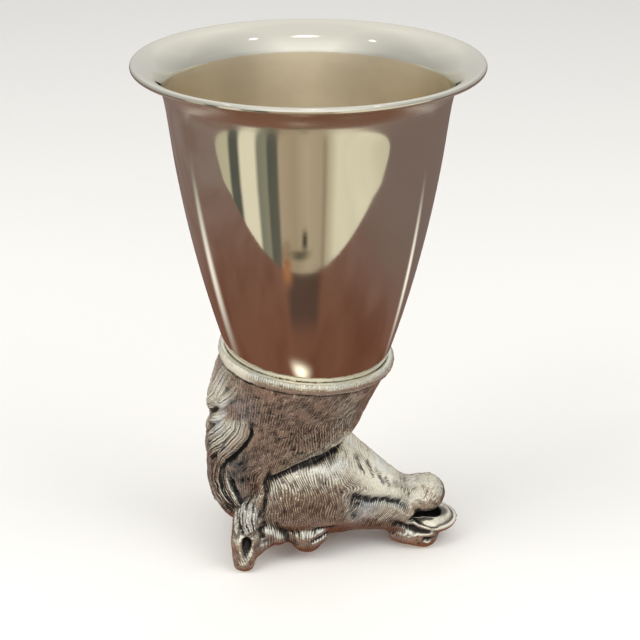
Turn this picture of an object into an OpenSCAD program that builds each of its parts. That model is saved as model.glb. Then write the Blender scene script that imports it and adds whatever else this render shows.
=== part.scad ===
// Stirrup cup. A spun beaker with a flared lip screws into the collar of a hollow cast horse head.
// The head hangs upside down, its muzzle along +X, and carries the cup on its two ears and its nose.
// Millimetres, +Z up, origin on the table under the beaker's axis.

/* [Beaker] */
// Height of the lip above the table
overall_height = 142; // [132:1:155]
// Diameter over the lip's edge
lip_diameter = 90; // [82:1:98]
// Thickness of the rolled edge of the lip
lip_edge = 1.8; // [1.4:0.1:2.4]
// Height of the flare under the lip
flare_height = 9.6; // [7:0.2:12]
// Outside diameter just under the flare
body_diameter = 73; // [68:0.5:76]
// Outside diameter where the beaker passes the collar
waist_diameter = 44.8; // [42:0.2:47]
// How far the side swells out of a straight taper
body_bulge = 1.9; // [1:0.1:2.8]
// Wall of the spun metal
beaker_wall = 1; // [0.7:0.1:1.4]
// Rounding between the side and the flat base
base_round = 10; // [8:0.5:12]
// How far below the collar's mid height the base rounding starts
base_drop = 3.6; // [2:0.2:5]

/* [Fixing] */
// Diameter of the stud's thread
stud_diameter = 6; // [4:0.5:8]
// Length of the stud below its flange
stud_length = 8; // [6:0.5:9]
// Diameter of the flange that is soldered under the base
flange_diameter = 14; // [11:0.5:16]
// Thickness of the flange
flange_thickness = 1.2; // [0.8:0.1:1.5]
// Outside diameter of the fibre washer
washer_diameter = 21; // [19:0.5:23]
// Thickness of the fibre washer
washer_thickness = 1.5; // [1.2:0.1:2]
// Diameter of the brass plate that is soldered into the neck
plate_diameter = 29; // [26:0.5:30]
// Thickness of the brass plate
plate_thickness = 2.5; // [2:0.1:3]
// Diameter of the tapped boss under the plate
boss_diameter = 11; // [10:0.5:13]
// Height of the tapped boss
boss_height = 5; // [4:0.5:7]
// Gap between pieces that drop into one another
fit_clearance = 0.15; // [0.1:0.05:0.25]
// Gap round the stud in its tapped hole
thread_clearance = 0.05; // [0.02:0.01:0.1]

/* [Collar and neck] */
// Height of the collar's edge above the table at the beaker's axis
collar_height = 61.6; // [60:0.2:63]
// Slope of the collar's edge, high at the nape, in degrees
collar_tilt = 4.6; // [2:0.2:6]
// Wall of the collar at its edge
collar_wall = 0.9; // [0.8:0.1:1.6]
// Height of the hem round the collar's edge
hem_height = 3.2; // [2.4:0.2:4]
// Gap between the beaker and the collar
collar_gap = 0.3; // [0.2:0.05:0.5]
// Wall of the hollow casting
casting_wall = 2.6; // [2:0.1:3.2]
// Width and thickness of the ledge under the brass plate
ledge = 1.6; // [1.2:0.1:2]
// How far the nape stands behind the beaker's axis
nape_reach = 28.8; // [28:0.2:30]
// Width of the neck halfway down
neck_width = 34.4; // [32:0.4:37]
// Distance from the axis to the throat where the jaw meets the neck
throat_reach = 12.5; // [11:0.5:14]

/* [Head] */
// How far the lip of the muzzle stands in front of the axis
muzzle_reach = 43.4; // [41:0.2:44.4]
// Depth of the mouth behind the lip's edge
mouth_depth = 15.4; // [14:0.2:17]
// Height of the jaw's angle above the table
jaw_height = 33; // [31:0.5:35]
// Width across the cheeks
cheek_width = 31; // [29:0.5:33]
// Width of the muzzle behind the lips
muzzle_width = 16.6; // [15:0.2:18]
// Height of the nose bridge above the table
bridge_height = 4.8; // [4:0.2:6]
// Height of the gap between the lips
mouth_gap = 3.2; // [2.4:0.2:4]
// Height of the mouth's lower edge above the table
mouth_height = 7.8; // [7:0.2:8.6]
// Distance across the tips of the ears
ear_spread = 37; // [33:0.5:41]
// Width of an ear
ear_width = 8.2; // [7:0.2:9]
// Height of an ear's root above the table
ear_root_height = 14.5; // [13:0.5:16]
// Locks of the mane on each side
mane_locks = 5; // [4:1:6]

/* [Hidden] */

// Steps of the outlines and lofts
arc_steps = 12;
loft_sides = 26;
loft_steps = 3;
hollow_sides = 16;
ball_sides = 12;
lock_sides = 8;

// Overlap of faces that would otherwise only touch
eps = 0.01;
// Half size of a cutter larger than the cup
cut = 100;

// The beaker's mid wall: base, base rounding, swelling side, flare and lip, as tangent arcs
edge_r = lip_edge / 2;
half_wall = beaker_wall / 2;
waist = [waist_diameter / 2 - half_wall, collar_height];
shoulder = [body_diameter / 2 - half_wall, overall_height - edge_r - flare_height];
chord = norm(shoulder - waist);
side_r = chord * chord / (8 * body_bulge) + body_bulge / 2;
chord_dir = (shoulder - waist) / chord;
inward = [-chord_dir[1], chord_dir[0]];
side_centre = (waist + shoulder) / 2 + inward * (side_r - body_bulge);
function side_point(z) = [side_centre[0] + sqrt(side_r * side_r - pow(z - side_centre[1], 2)), z];
// Angle of the side's outward normal below the horizontal
function side_angle(z) = asin((side_centre[1] - z) / side_r);
foot = side_point(collar_height - base_drop);
foot_angle = side_angle(foot[1]);
base_centre = [foot[0] - base_round * cos(foot_angle), foot[1] + base_round * sin(foot_angle)];
base_z = base_centre[1] - base_round - half_wall;
shoulder_angle = side_angle(shoulder[1]);
flare_gain = lip_diameter / 2 - edge_r - shoulder[0];
flare_angle = 2 * atan(flare_gain / flare_height) - shoulder_angle;
flare_r = flare_height / (sin(flare_angle) - sin(shoulder_angle));
flare_centre = shoulder + flare_r * [cos(shoulder_angle), -sin(shoulder_angle)];

function arc(centre, r, from, to, steps) =
    [for (i = [0 : steps]) let (a = from + (to - from) * i / steps) centre + r * [cos(a), sin(a)]];
// The wall's outline from the axis to the lip, moved outwards by off
function beaker_line(off) = concat(
    [[0, base_centre[1] - base_round - off]],
    arc(base_centre, base_round + off, -90, -foot_angle, arc_steps),
    arc(side_centre, side_r + off, -foot_angle + eps, -shoulder_angle - eps, 2 * arc_steps),
    arc(flare_centre, flare_r - off, 180 - shoulder_angle, 180 - flare_angle, arc_steps));
function reversed(list) = [for (i = [len(list) - 1 : -1 : 0]) list[i]];
lip_centre = flare_centre + flare_r * [-cos(flare_angle), sin(flare_angle)];

// Stack of the hidden fixing, from the beaker's base down
plate_top = base_z - washer_thickness;
plate_z = plate_top - plate_thickness;

// The collar's edge: a tilted circle that keeps one wall round the tapering beaker
collar_slope = tan(side_angle(collar_height));
collar_r = waist_diameter / 2 + collar_gap + collar_wall;
collar_rise = collar_r * sin(collar_tilt);
collar_x = -collar_slope * collar_rise;

// A section across the neck or head: [back or lower x, z, front or upper x, z, half width, egg bias]
neck_half = neck_width / 2;
neck_sections = [
    [collar_x - collar_r, collar_height + collar_rise, collar_x + collar_r, collar_height - collar_rise, collar_r, 0],
    [collar_x - collar_r - 0.2, collar_height + collar_rise - hem_height, collar_x + collar_r - 0.9,
        collar_height - collar_rise - hem_height, collar_r - 0.5, 0],
    [-nape_reach + 2.2, 52, throat_reach + 7, 51, neck_half + 3.2, 0.03],
    [-nape_reach + 0.9, 43, throat_reach + 3.6, 43.5, neck_half, 0.06],
    [-nape_reach + 0.1, 34.5, throat_reach + 0.6, 37, neck_half - 2.4, 0.1],
    [-nape_reach, 26, throat_reach - 6, 31.5, neck_half - 4, 0.1],
    [-nape_reach + 0.6, 18.5, throat_reach - 16, 25, neck_half - 5, 0.06],
    [-nape_reach + 3, 12, throat_reach - 23, 18, neck_half - 6, 0],
    [-nape_reach + 7.5, 8, throat_reach - 26, 12, neck_half - 8, 0]];

cheek_half = cheek_width / 2;
muzzle_half = muzzle_width / 2;
lip_root = muzzle_reach - mouth_depth;
head_sections = [
    [-nape_reach + 7.2, bridge_height + 5, -19, jaw_height - 13, cheek_half - 6, 0],
    [-16, bridge_height + 1.4, -13.5, jaw_height - 5.4, cheek_half - 2.2, 0],
    [-8.5, bridge_height, -6, jaw_height - 2, cheek_half - 0.2, 0.02],
    [0, bridge_height - 0.4, 1.5, jaw_height - 0.6, cheek_half, 0.02],
    [8, bridge_height - 0.2, 9, jaw_height, cheek_half - 1.6, -0.04],
    [14, bridge_height, 14.5, jaw_height - 2.6, cheek_half - 4.4, -0.1],
    [lip_root - 8, bridge_height - 0.4, lip_root - 7.5, jaw_height - 8.2, muzzle_half + 0.9, -0.12],
    [lip_root - 3, bridge_height - 1.4, lip_root - 2.5, jaw_height - 12.8, muzzle_half, -0.08],
    [lip_root + 0.5, bridge_height - 2.2, lip_root + 1, jaw_height - 15.4, muzzle_half - 0.3, 0],
    [lip_root + 2.6, bridge_height + 0.4, lip_root + 3, jaw_height - 17.2, muzzle_half - 2.4, 0]];

// Steps a list of equal vectors along a smooth curve through them
function curve_at(p0, p1, p2, p3, t) =
    (2 * p1 + (p2 - p0) * t + (2 * p0 - 5 * p1 + 4 * p2 - p3) * t * t + (3 * p1 - p0 - 3 * p2 + p3) * t * t * t) / 2;
function smoothed(list, steps) = concat(
    [for (i = [0 : len(list) - 2]) for (k = [0 : steps - 1])
        curve_at(list[max(i - 1, 0)], list[i], list[i + 1], list[min(i + 2, len(list) - 1)], k / steps)],
    [list[len(list) - 1]]);
// A section drawn in by the casting's wall
function inset_section(s, wall) =
    let (d = [s[2] - s[0], s[3] - s[1]], u = d / norm(d) * wall)
    [s[0] + u[0], s[1] + u[1], s[2] - u[0], s[3] - u[1], s[4] - wall, s[5]];
function inset_all(sections, wall) = [for (s = sections) inset_section(s, wall)];
// A cosine or sine squared off towards a box
function boxed(v, power) = sign(v) * pow(abs(v), power);
function ring_point(s, a, power) =
    let (c = boxed(cos(a), power), w = boxed(sin(a), power))
    [(s[0] + s[2]) / 2 + (s[2] - s[0]) / 2 * c, s[4] * (1 + s[5] * c) * w, (s[1] + s[3]) / 2 + (s[3] - s[1]) / 2 * c];

// A closed solid through smoothed sections
module loft(sections, sides, power) {
    rows = smoothed(sections, loft_steps);
    count = len(rows);
    points = [for (s = rows) for (j = [0 : sides - 1]) ring_point(s, 360 * j / sides, power)];
    walls = [for (i = [0 : count - 2]) for (j = [0 : sides - 1])
        let (a = i * sides + j, b = i * sides + (j + 1) % sides)
        each [[a, b, b + sides], [a, b + sides, a + sides]]];
    caps = [[for (j = [sides - 1 : -1 : 0]) j], [for (j = [0 : sides - 1]) (count - 1) * sides + j]];
    polyhedron(points, concat(walls, caps), convexity = 6);
}

module ball(place, radii) {
    translate(place) scale(radii) sphere(1, $fn = ball_sides);
}

// A tapered limb between two balls
module limb(from, from_r, to, to_r, sides = ball_sides) {
    hull() {
        translate(from) sphere(from_r, $fn = sides);
        translate(to) sphere(to_r, $fn = sides);
    }
}

module both_sides() {
    children();
    mirror([0, 1, 0]) children();
}

// Beaker: one spun shell with its rolled lip
module beaker() {
    color("silver") union() {
        rotate_extrude($fn = 96)
            polygon(concat(beaker_line(half_wall), reversed(beaker_line(-half_wall))));
        rotate_extrude($fn = 96) translate(lip_centre) circle(edge_r, $fn = 32);
    }
}

// Stud: soldered under the base, screwed into the plate
module threaded_stud() {
    color("gray") union() {
        translate([0, 0, base_z - flange_thickness])
            cylinder(d = flange_diameter, h = flange_thickness, $fn = 64);
        translate([0, 0, base_z - flange_thickness - stud_length])
            cylinder(d = stud_diameter, h = stud_length + eps, $fn = 48);
    }
}

// Washer: takes the beaker's load round the flange
module seat_washer() {
    color("saddlebrown") translate([0, 0, plate_top]) difference() {
        cylinder(d = washer_diameter, h = washer_thickness, $fn = 64);
        translate([0, 0, -1])
            cylinder(d = flange_diameter + 2 * fit_clearance, h = washer_thickness + 2, $fn = 64);
    }
}

// Plate: soldered across the neck, with a tapped boss below
module fixing_plate() {
    tap_h = plate_thickness + boss_height;
    color("goldenrod") difference() {
        union() {
            translate([0, 0, plate_z]) cylinder(d = plate_diameter, h = plate_thickness, $fn = 64);
            translate([0, 0, plate_z - boss_height]) cylinder(d = boss_diameter, h = boss_height + eps, $fn = 48);
        }
        translate([0, 0, plate_z - boss_height - 1])
            cylinder(d = stud_diameter + 2 * thread_clearance, h = tap_h + 2, $fn = 48);
    }
}

ear_root = [-16.6, cheek_half - 4, ear_root_height];
ear_mid = [-17.8, ear_spread / 2 - 2.6, ear_root_height / 2 + 0.6];
ear_tip = [-18.4, ear_spread / 2, 1.2];
module ear() {
    hull() {
        ball(ear_root, [4.6, 3.6, 3]);
        ball(ear_mid, [ear_width / 2, 3, 4]);
    }
    hull() {
        ball(ear_mid, [ear_width / 2, 3, 4]);
        ball(ear_tip, [2.2, 1.8, 1.8]);
    }
}

module ear_cup() {
    hull() {
        ball(ear_mid + [0.4, 3.4, 1.6], [ear_width / 2 - 2, 2.4, 2.4]);
        ball(ear_tip + [0.2, 2, 2.6], [1.3, 1.8, 1.6]);
    }
}

// Forelock, brow, eye, nostril and lips stand out of the head
module face_forms() {
    both_sides() {
        limb([-15.5, ear_spread / 2 - 3, bridge_height + 4], 3, [-8.5, cheek_half - 3, bridge_height + 3.2], 3.4);
        limb([-7.5, cheek_half - 4.5, bridge_height + 3.4], 3.2, [2.6, cheek_half - 3.8, bridge_height + 3], 3);
        ball([-0.4, cheek_half - 3.4, bridge_height + 1.8], [4.6, 3.6, 4.3]);
        limb([lip_root - 1, muzzle_half - 4.3, 4], 3.8, [lip_root + 5.4, muzzle_half - 3.4, 3.9], 4.4);
    }
    // Upper lip, which lies lowest
    hull() {
        ball([lip_root, 0, mouth_height - 2.4], [4, muzzle_half - 0.4, 3]);
        ball([muzzle_reach - 7.8, 0, mouth_height - 1.6], [7.8, muzzle_half - 0.2, 2.4]);
    }
    // Chin and lower lip
    hull() {
        ball([lip_root - 0.5, 0, mouth_height + mouth_gap + 3.4], [4, muzzle_half - 1.4, 3.8]);
        ball([muzzle_reach - 9.2, 0, mouth_height + mouth_gap + 4], [5.4, muzzle_half - 1.6, 4.4]);
    }
}

// Locks that fall from the crest over each side of the neck
neck_power = 1;
head_power = 0.76;
neck_rows = smoothed(neck_sections, loft_steps);
function neck_point(row, a) = ring_point(neck_rows[min(row, len(neck_rows) - 1)], a, neck_power);
module mane() {
    both_sides() for (i = [0 : mane_locks - 1]) {
        row = 4 + 3 * i;
        limb(neck_point(row, 170), 1.6, neck_point(row + 2, 156), 1.9, lock_sides);
        limb(neck_point(row + 2, 156), 1.9, neck_point(row + 4, 138 + 6 * (i % 2)), 0.9, lock_sides);
    }
}

// Rolled edge of the collar
module hem() {
    hem_r = (collar_wall + collar_gap) * 0.9;
    translate([collar_x, 0, collar_height - hem_r]) rotate([0, collar_tilt, 0])
        rotate_extrude($fn = 48) translate([collar_r - hem_r * 0.8, 0]) circle(hem_r, $fn = 12);
}

// Room for the beaker, its washer and plate
module socket() {
    rotate_extrude($fn = 48) polygon(concat(
        [[0, plate_z], [plate_diameter / 2 + fit_clearance, plate_z],
            [plate_diameter / 2 + fit_clearance, base_z - collar_gap]],
        [for (p = beaker_line(half_wall + collar_gap)) if (p[0] > plate_diameter / 2 + fit_clearance
            && p[1] < collar_height + 12) p],
        [[0, collar_height + 12]]));
}

// The hollow: neck below the plate, head, and a way out through the mouth
mouth_mid = mouth_height + mouth_gap / 2;
module hollow() {
    boss_room = boss_height + 2;
    translate([0, 0, plate_z - boss_room]) cylinder(d = plate_diameter - 2 * ledge, h = boss_room + 1, $fn = 48);
    intersection() {
        loft(inset_all(neck_sections, casting_wall), hollow_sides, neck_power);
        translate([-cut, -cut, 0]) cube([2 * cut, 2 * cut, plate_z - ledge]);
    }
    loft(inset_all(head_sections, casting_wall), hollow_sides, head_power);
    // Throat of the mouth
    hull() {
        ball([lip_root - 4, 0, mouth_mid], [4, muzzle_half - casting_wall, mouth_gap / 2 + 1]);
        ball([lip_root + 4, 0, mouth_mid], [4, muzzle_half - casting_wall + 0.6, mouth_gap / 2]);
    }
    // Gap between the lips
    hull() {
        ball([lip_root + 2, 0, mouth_mid], [3, muzzle_half + 1, mouth_gap / 2]);
        ball([muzzle_reach, 0, mouth_mid], [4, muzzle_half + 1, mouth_gap / 2]);
    }
}

// Casting: collar, neck, mane, ears, face and open mouth in one hollow piece
module head_casting() {
    color("darkgray") difference() {
        union() {
            loft(neck_sections, loft_sides, neck_power);
            loft(head_sections, loft_sides, head_power);
            hem();
            face_forms();
            mane();
            both_sides() ear();
        }
        socket();
        hollow();
        both_sides() ear_cup();
        // Upper lip hollowed like a spoon
        ball([muzzle_reach - 7.2, 0, mouth_height + 1.2], [5.6, muzzle_half - 2.2, 2.6]);
        // Resting points dressed flat on the table
        translate([-cut, -cut, -cut]) cube([2 * cut, 2 * cut, cut]);
    }
}

beaker();
threaded_stud();
seat_washer();
fixing_plate();
head_casting();
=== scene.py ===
"""Stirrup cup: a polished beaker standing in the collar of a chased, oxidised silver horse head."""
import math
import bmesh
import bpy
import numpy as np
from mathutils import Matrix, Vector


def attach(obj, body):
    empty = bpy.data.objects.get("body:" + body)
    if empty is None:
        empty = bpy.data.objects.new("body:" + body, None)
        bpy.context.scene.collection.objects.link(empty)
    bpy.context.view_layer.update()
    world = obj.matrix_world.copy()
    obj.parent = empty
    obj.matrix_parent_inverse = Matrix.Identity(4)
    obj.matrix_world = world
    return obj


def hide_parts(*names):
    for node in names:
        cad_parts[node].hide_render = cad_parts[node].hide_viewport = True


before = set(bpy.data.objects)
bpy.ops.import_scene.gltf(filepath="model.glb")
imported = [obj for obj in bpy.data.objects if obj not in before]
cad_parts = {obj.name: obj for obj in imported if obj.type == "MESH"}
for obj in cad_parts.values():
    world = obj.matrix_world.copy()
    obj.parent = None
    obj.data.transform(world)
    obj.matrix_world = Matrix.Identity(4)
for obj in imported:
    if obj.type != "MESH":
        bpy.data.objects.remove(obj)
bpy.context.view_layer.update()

bl_info = {
    "name": "Stirrup cup",
    "version": (1, 0, 0),
    "blender": (4, 5, 0),
    "location": "3D View > Sidebar > Stirrup cup",
    "description": "Builds the beaker, the cast head, the hidden fixing and the stage of a stirrup cup",
    "category": "Object",
}

MM = 0.001
BODY = "root"


def length_value(name, text, default):
    """A length in metres that a user may change."""
    return bpy.props.FloatProperty(name=name, description=text, default=default, unit="LENGTH", precision=5)


def colour_value(name, text, default):
    """A colour that a user may change."""
    return bpy.props.FloatVectorProperty(name=name, description=text, default=default, size=3,
                                         min=0, max=1, subtype="COLOR")


class BeakerSizes(bpy.types.PropertyGroup):
    """Sizes of the spun beaker, the same as in the part's source."""
    overall_height: length_value("Overall height", "Height of the lip above the table", 0.142)
    lip_diameter: length_value("Lip diameter", "Diameter over the lip's edge", 0.090)
    lip_edge: length_value("Lip edge", "Thickness of the rolled edge of the lip", 0.0018)
    flare_height: length_value("Flare height", "Height of the flare under the lip", 0.0096)
    body_diameter: length_value("Body diameter", "Outside diameter just under the flare", 0.073)
    waist_diameter: length_value("Waist diameter", "Outside diameter at the collar", 0.0448)
    body_bulge: length_value("Body bulge", "How far the side swells out of a straight taper", 0.0019)
    wall: length_value("Wall", "Wall of the spun metal", 0.001)
    base_round: length_value("Base rounding", "Rounding between the side and the flat base", 0.010)
    base_drop: length_value("Base drop", "How far below the collar the base rounding starts", 0.0036)
    collar_height: length_value("Collar height", "Height of the collar's edge at the axis", 0.0616)
    turns: bpy.props.IntProperty(name="Turns", description="Steps round the beaker", default=192, min=24)


class HeadSizes(bpy.types.PropertyGroup):
    """Sizes of the casting's relief."""
    cell: length_value("Cell", "Size of a face of the casting's skin", 0.00046)
    tuft_width: length_value("Tuft width", "Width of a tuft of the chased coat", 0.0014)
    tuft_length: length_value("Tuft length", "Length of a tuft of the chased coat", 0.0050)
    tuft_height: length_value("Tuft height", "How far a tuft stands out", 0.00024)
    smoothing: bpy.props.IntProperty(name="Smoothing", description="Passes that ease the joined forms",
                                     default=7, min=0)


class CupFinish(bpy.types.PropertyGroup):
    """Colours of the metals."""
    silver: colour_value("Silver", "Polished outside of the beaker", (0.87, 0.85, 0.75))
    satin: colour_value("Satin lining", "Inside of the beaker", (0.89, 0.785, 0.59))
    # The worn ridge colour is also that of the painted highlights; the coats and the cool silver are mixed by
    # the stored tint, which also carries painted red-brown and bluish reflections
    ridge: colour_value("Worn ridge", "Silver rubbed bright on the casting", (0.94, 0.895, 0.735))
    coat: colour_value("Warm coat", "Brown middle tone of the oxidised casting", (0.31, 0.222, 0.166))
    dusk: colour_value("Cold coat", "Bluish middle tone of the oxidised casting", (0.23, 0.265, 0.265))
    cool: colour_value("Cool silver", "Bluish tint on parts of the casting", (0.78, 0.84, 0.88))
    # The patina is also the colour of the painted shade in the open mouth, under the chin, along the fold and
    # at the locks' tips
    patina_and_shade: colour_value("Patina", "Dark oxide in the casting's hollows", (0.022, 0.020, 0.019))
    steel: colour_value("Steel", "Stud under the beaker", (0.56, 0.55, 0.53))
    fibre: colour_value("Fibre", "Washer under the beaker", (0.26, 0.11, 0.06))
    brass: colour_value("Brass", "Plate in the neck", (0.72, 0.52, 0.22))


class StageLook(bpy.types.PropertyGroup):
    """Floor, reflected table and light."""
    floor: colour_value("Floor", "Pale floor under the cup", (0.92, 0.92, 0.91))
    table: colour_value("Table", "Table top that the metal reflects", (0.205, 0.09, 0.058))
    window: colour_value("Window side", "Pale room beyond the table's edge", (0.83, 0.77, 0.61))
    key_power: bpy.props.FloatProperty(name="Key power", description="Power of the soft light overhead",
                                       default=2.6, min=0, unit="POWER")


def smooth_step(low, high, value):
    """Eases from 0 at low to 1 at high."""
    t = np.clip((value - low) / (high - low), 0, 1)
    return t * t * (3 - 2 * t)


def new_piece(name, bm, materials, smooth=True):
    """Turns a bmesh into a linked object at the origin."""
    mesh = bpy.data.meshes.new(name)
    bm.to_mesh(mesh)
    bm.free()
    piece = bpy.data.objects.new(name, mesh)
    bpy.context.scene.collection.objects.link(piece)
    for material in materials:
        mesh.materials.append(material)
    if smooth:
        mesh.shade_smooth()
    return piece


# Scale of the finish's comb of hairs, which the strands of the locks follow
COMB_SCALE = 0.47


class NodeSheet:
    """The node tree of a material or the world, with short calls to add and join nodes."""

    def __init__(self, owner, shader):
        owner.use_nodes = True
        self.owner = owner
        self.tree = owner.node_tree
        self.shader = self.tree.nodes[shader]

    def add(self, kind, inputs=None, **settings):
        node = self.tree.nodes.new("ShaderNode" + kind)
        for key, value in settings.items():
            setattr(node, key, value)
        for key, value in (inputs or {}).items():
            self.feed(node.inputs[key], value)
        return node

    def feed(self, socket, value):
        if isinstance(value, bpy.types.NodeSocket):
            self.tree.links.new(value, socket)
        else:
            socket.default_value = value

    def set(self, key, value):
        self.feed(self.shader.inputs[key], value)

    def place(self):
        return self.add("TexCoord").outputs["Object"]

    def attribute(self, name, output="Fac"):
        return self.add("Attribute", attribute_name=name).outputs[output]

    def stretch(self, vector, scale):
        return self.add("Mapping", {"Vector": vector, "Scale": scale}).outputs[0]

    def noise(self, vector, scale, detail):
        return self.add("TexNoise", {"Vector": vector, "Scale": scale, "Detail": detail}).outputs["Fac"]

    def math(self, operation, first, second=0.0, clamp=False):
        return self.add("Math", {0: first, 1: second}, operation=operation, use_clamp=clamp).outputs[0]

    def plus(self, first, second, clamp=False):
        return self.math("ADD", first, second, clamp)

    def minus(self, first, second):
        return self.math("SUBTRACT", first, second)

    def times(self, first, second, clamp=False):
        return self.math("MULTIPLY", first, second, clamp)

    def remap(self, value, low, high, to_low=0.0, to_high=1.0, easing="SMOOTHSTEP"):
        inputs = {"Value": value, "From Min": low, "From Max": high, "To Min": to_low, "To Max": to_high}
        return self.add("MapRange", inputs, interpolation_type=easing).outputs[0]

    def mix(self, factor, first, second):
        node = self.add("Mix", data_type="RGBA")
        self.feed(node.inputs[0], factor)
        self.feed(node.inputs[6], first)
        self.feed(node.inputs[7], second)
        return node.outputs[2]

    def ramp(self, value, stops):
        """A colour ramp with its stops given as place and colour."""
        node = self.add("ValToRGB", {"Fac": value})
        elements = node.color_ramp.elements
        while len(elements) < len(stops):
            elements.new(0.5)
        for element, (place, colour) in zip(elements, stops):
            element.position = place
            element.color = shade(colour)
        return node.outputs["Color"]

    def bump(self, height, distance, strength=1.0, under=None):
        node = self.add("Bump", {"Height": height, "Distance": distance, "Strength": strength})
        if under is not None:
            self.feed(node.inputs["Normal"], under)
        return node.outputs[0]


def finish_sheet(name):
    """The node tree of a new material."""
    return NodeSheet(bpy.data.materials.new(name), "Principled BSDF")


def shade(colour, scale=1.0):
    """A colour made lighter or darker, ready for a socket."""
    return (colour[0] * scale, colour[1] * scale, colour[2] * scale, 1.0)


def polished_silver(colour):
    """Bright silver with faint polishing haze and hairline rubs round the beaker."""
    sheet = finish_sheet("polished_silver")
    place = sheet.place()
    haze = sheet.noise(place, 38.0, 3.0)
    hairs = sheet.noise(sheet.stretch(place, (12.0, 12.0, 900.0)), 1.0, 2.0)
    sheet.set("Base Color", sheet.mix(haze, shade(colour, 0.97), shade(colour, 1.02)))
    sheet.set("Metallic", 1.0)
    rough = sheet.plus(sheet.remap(haze, 0.35, 0.7, 0.045, 0.085), sheet.remap(hairs, 0.55, 0.8, 0.0, 0.02))
    sheet.set("Roughness", sheet.plus(rough, sheet.times(sheet.attribute("dull"), 0.24)))
    sheet.set("Normal", sheet.bump(hairs, 0.0000012))
    return sheet.owner


def satin_lining(colour):
    """Softly brushed lining with rings left by the spinning lathe."""
    sheet = finish_sheet("satin_lining")
    place = sheet.place()
    lines = sheet.noise(sheet.stretch(place, (6.0, 6.0, 620.0)), 1.0, 3.0)
    cloud = sheet.noise(place, 55.0, 3.0)
    tone = sheet.mix(sheet.remap(cloud, 0.3, 0.75), shade(colour, 0.9), shade(colour, 1.06))
    sheet.set("Base Color", tone)
    sheet.set("Metallic", 1.0)
    sheet.set("Roughness", sheet.plus(sheet.remap(lines, 0.3, 0.7, 0.3, 0.38), sheet.times(cloud, 0.05)))
    sheet.set("Anisotropic", 0.95)
    sheet.set("Anisotropic Rotation", 0.25)
    sheet.set("Tangent", sheet.add("Tangent", direction_type="RADIAL", axis="Z").outputs[0])
    sheet.set("Normal", sheet.bump(lines, 0.00001, 0.6))
    return sheet.owner


def chased_hair(sheet):
    """Fine combed strokes along the coat, broken here and there."""
    stroke = sheet.attribute("stroke", "Vector")
    waves = {"Vector": stroke, "Scale": COMB_SCALE, "Distortion": 2.6, "Detail": 2.0, "Detail Scale": 1.1}
    comb = sheet.add("TexWave", waves, wave_type="BANDS", bands_direction="X", wave_profile="SIN")
    broken = sheet.noise(sheet.stretch(stroke, (1.5, 0.42, 1.0)), 1.0, 2.0)
    return sheet.times(sheet.remap(comb.outputs["Fac"], 0.2, 0.85), sheet.remap(broken, 0.36, 0.6, 0.1, 1.0))


def oxidised_silver(finish):
    """Cast silver: dark oxide between the chased hairs, rubbed bright on every ridge, with the painted
    highlight, shade and reflection tints that the stored level and tint carry.
    """
    sheet = finish_sheet("oxidised_silver")
    place = sheet.place()
    coat = sheet.attribute("coat")
    cold = sheet.attribute("cold")
    hair = chased_hair(sheet)
    grain = sheet.noise(place, 1500.0, 2.0)
    blotch = sheet.noise(place, 230.0, 3.0)
    speck = sheet.noise(place, 2300.0, 1.0)
    tint = sheet.noise(place, 110.0, 2.0)
    mottle = sheet.plus(sheet.remap(blotch, 0.36, 0.64, -0.1, 0.1), sheet.remap(speck, 0.36, 0.64, -0.1, 0.1))
    mottle = sheet.times(mottle, sheet.attribute("speckle"))
    # The stored level holds rubbed wear together with painted highlight and painted shade
    level = sheet.plus(sheet.attribute("light_and_wear"), sheet.times(sheet.minus(hair, 0.4), coat))
    level = sheet.plus(level, mottle)
    level = sheet.plus(level, sheet.times(sheet.minus(grain, 0.5), 0.14), clamp=True)
    # The stored tint turns the coats and the bright metal bluish or red-brown, partly as painted reflections
    # of the room and the table
    fur = sheet.mix(cold, shade(finish.coat), shade(finish.dusk))
    low = sheet.mix(sheet.remap(level, 0.1, 0.52), shade(finish.patina_and_shade), fur)
    chill = sheet.times(sheet.remap(tint, 0.45, 0.62, 0.1, 0.9), sheet.plus(cold, 0.02), clamp=True)
    bright = sheet.mix(chill, shade(finish.ridge), shade(finish.cool))
    sheet.set("Base Color", sheet.mix(sheet.remap(level, 0.44, 0.86), low, bright))
    mirror = sheet.times(sheet.attribute("mirror"), 0.26)
    metal = sheet.plus(sheet.remap(level, 0.1, 0.75, 0.6, 0.86), mirror, clamp=True)
    sheet.set("Metallic", sheet.minus(metal, sheet.times(sheet.attribute("matt"), 0.6)))
    sheet.set("Roughness", sheet.remap(level, 0.1, 0.9, 0.38, 0.16))
    strokes = sheet.bump(sheet.times(hair, coat), 0.00022, 0.9)
    specks = sheet.bump(speck, 0.00006, 0.5, under=strokes)
    sheet.set("Normal", sheet.bump(grain, 0.00001, 0.5, under=specks))
    return sheet.owner


def turned_metal(name, colour, rough):
    """A turned metal with fine tool rings."""
    sheet = finish_sheet(name)
    lines = sheet.noise(sheet.stretch(sheet.place(), (40.0, 40.0, 1800.0)), 1.0, 2.0)
    sheet.set("Base Color", sheet.mix(lines, shade(colour, 0.8), shade(colour, 1.1)))
    sheet.set("Metallic", 1.0)
    sheet.set("Roughness", sheet.remap(lines, 0.3, 0.7, rough, rough + 0.12))
    sheet.set("Normal", sheet.bump(lines, 0.00002, 0.5))
    return sheet.owner


def pressed_fibre(colour):
    """Red pressed fibre with specks."""
    sheet = finish_sheet("pressed_fibre")
    specks = sheet.noise(sheet.place(), 900.0, 3.0)
    sheet.set("Base Color", sheet.mix(sheet.remap(specks, 0.4, 0.65), shade(colour, 0.7), shade(colour, 1.3)))
    sheet.set("Roughness", sheet.remap(specks, 0.3, 0.7, 0.6, 0.8))
    sheet.set("Normal", sheet.bump(specks, 0.00003, 0.6))
    return sheet.owner


# Steps along the beaker's outline
BASE_STEPS = 20
SIDE_STEPS = 44
FLARE_STEPS = 26
BEAD_STEPS = 22
# Direction across the wall at the lip, outwards and up, along which the rolled edge is set
LIP_LEAN_OUT = 0.34
LIP_LEAN_UP = 0.94


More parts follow.
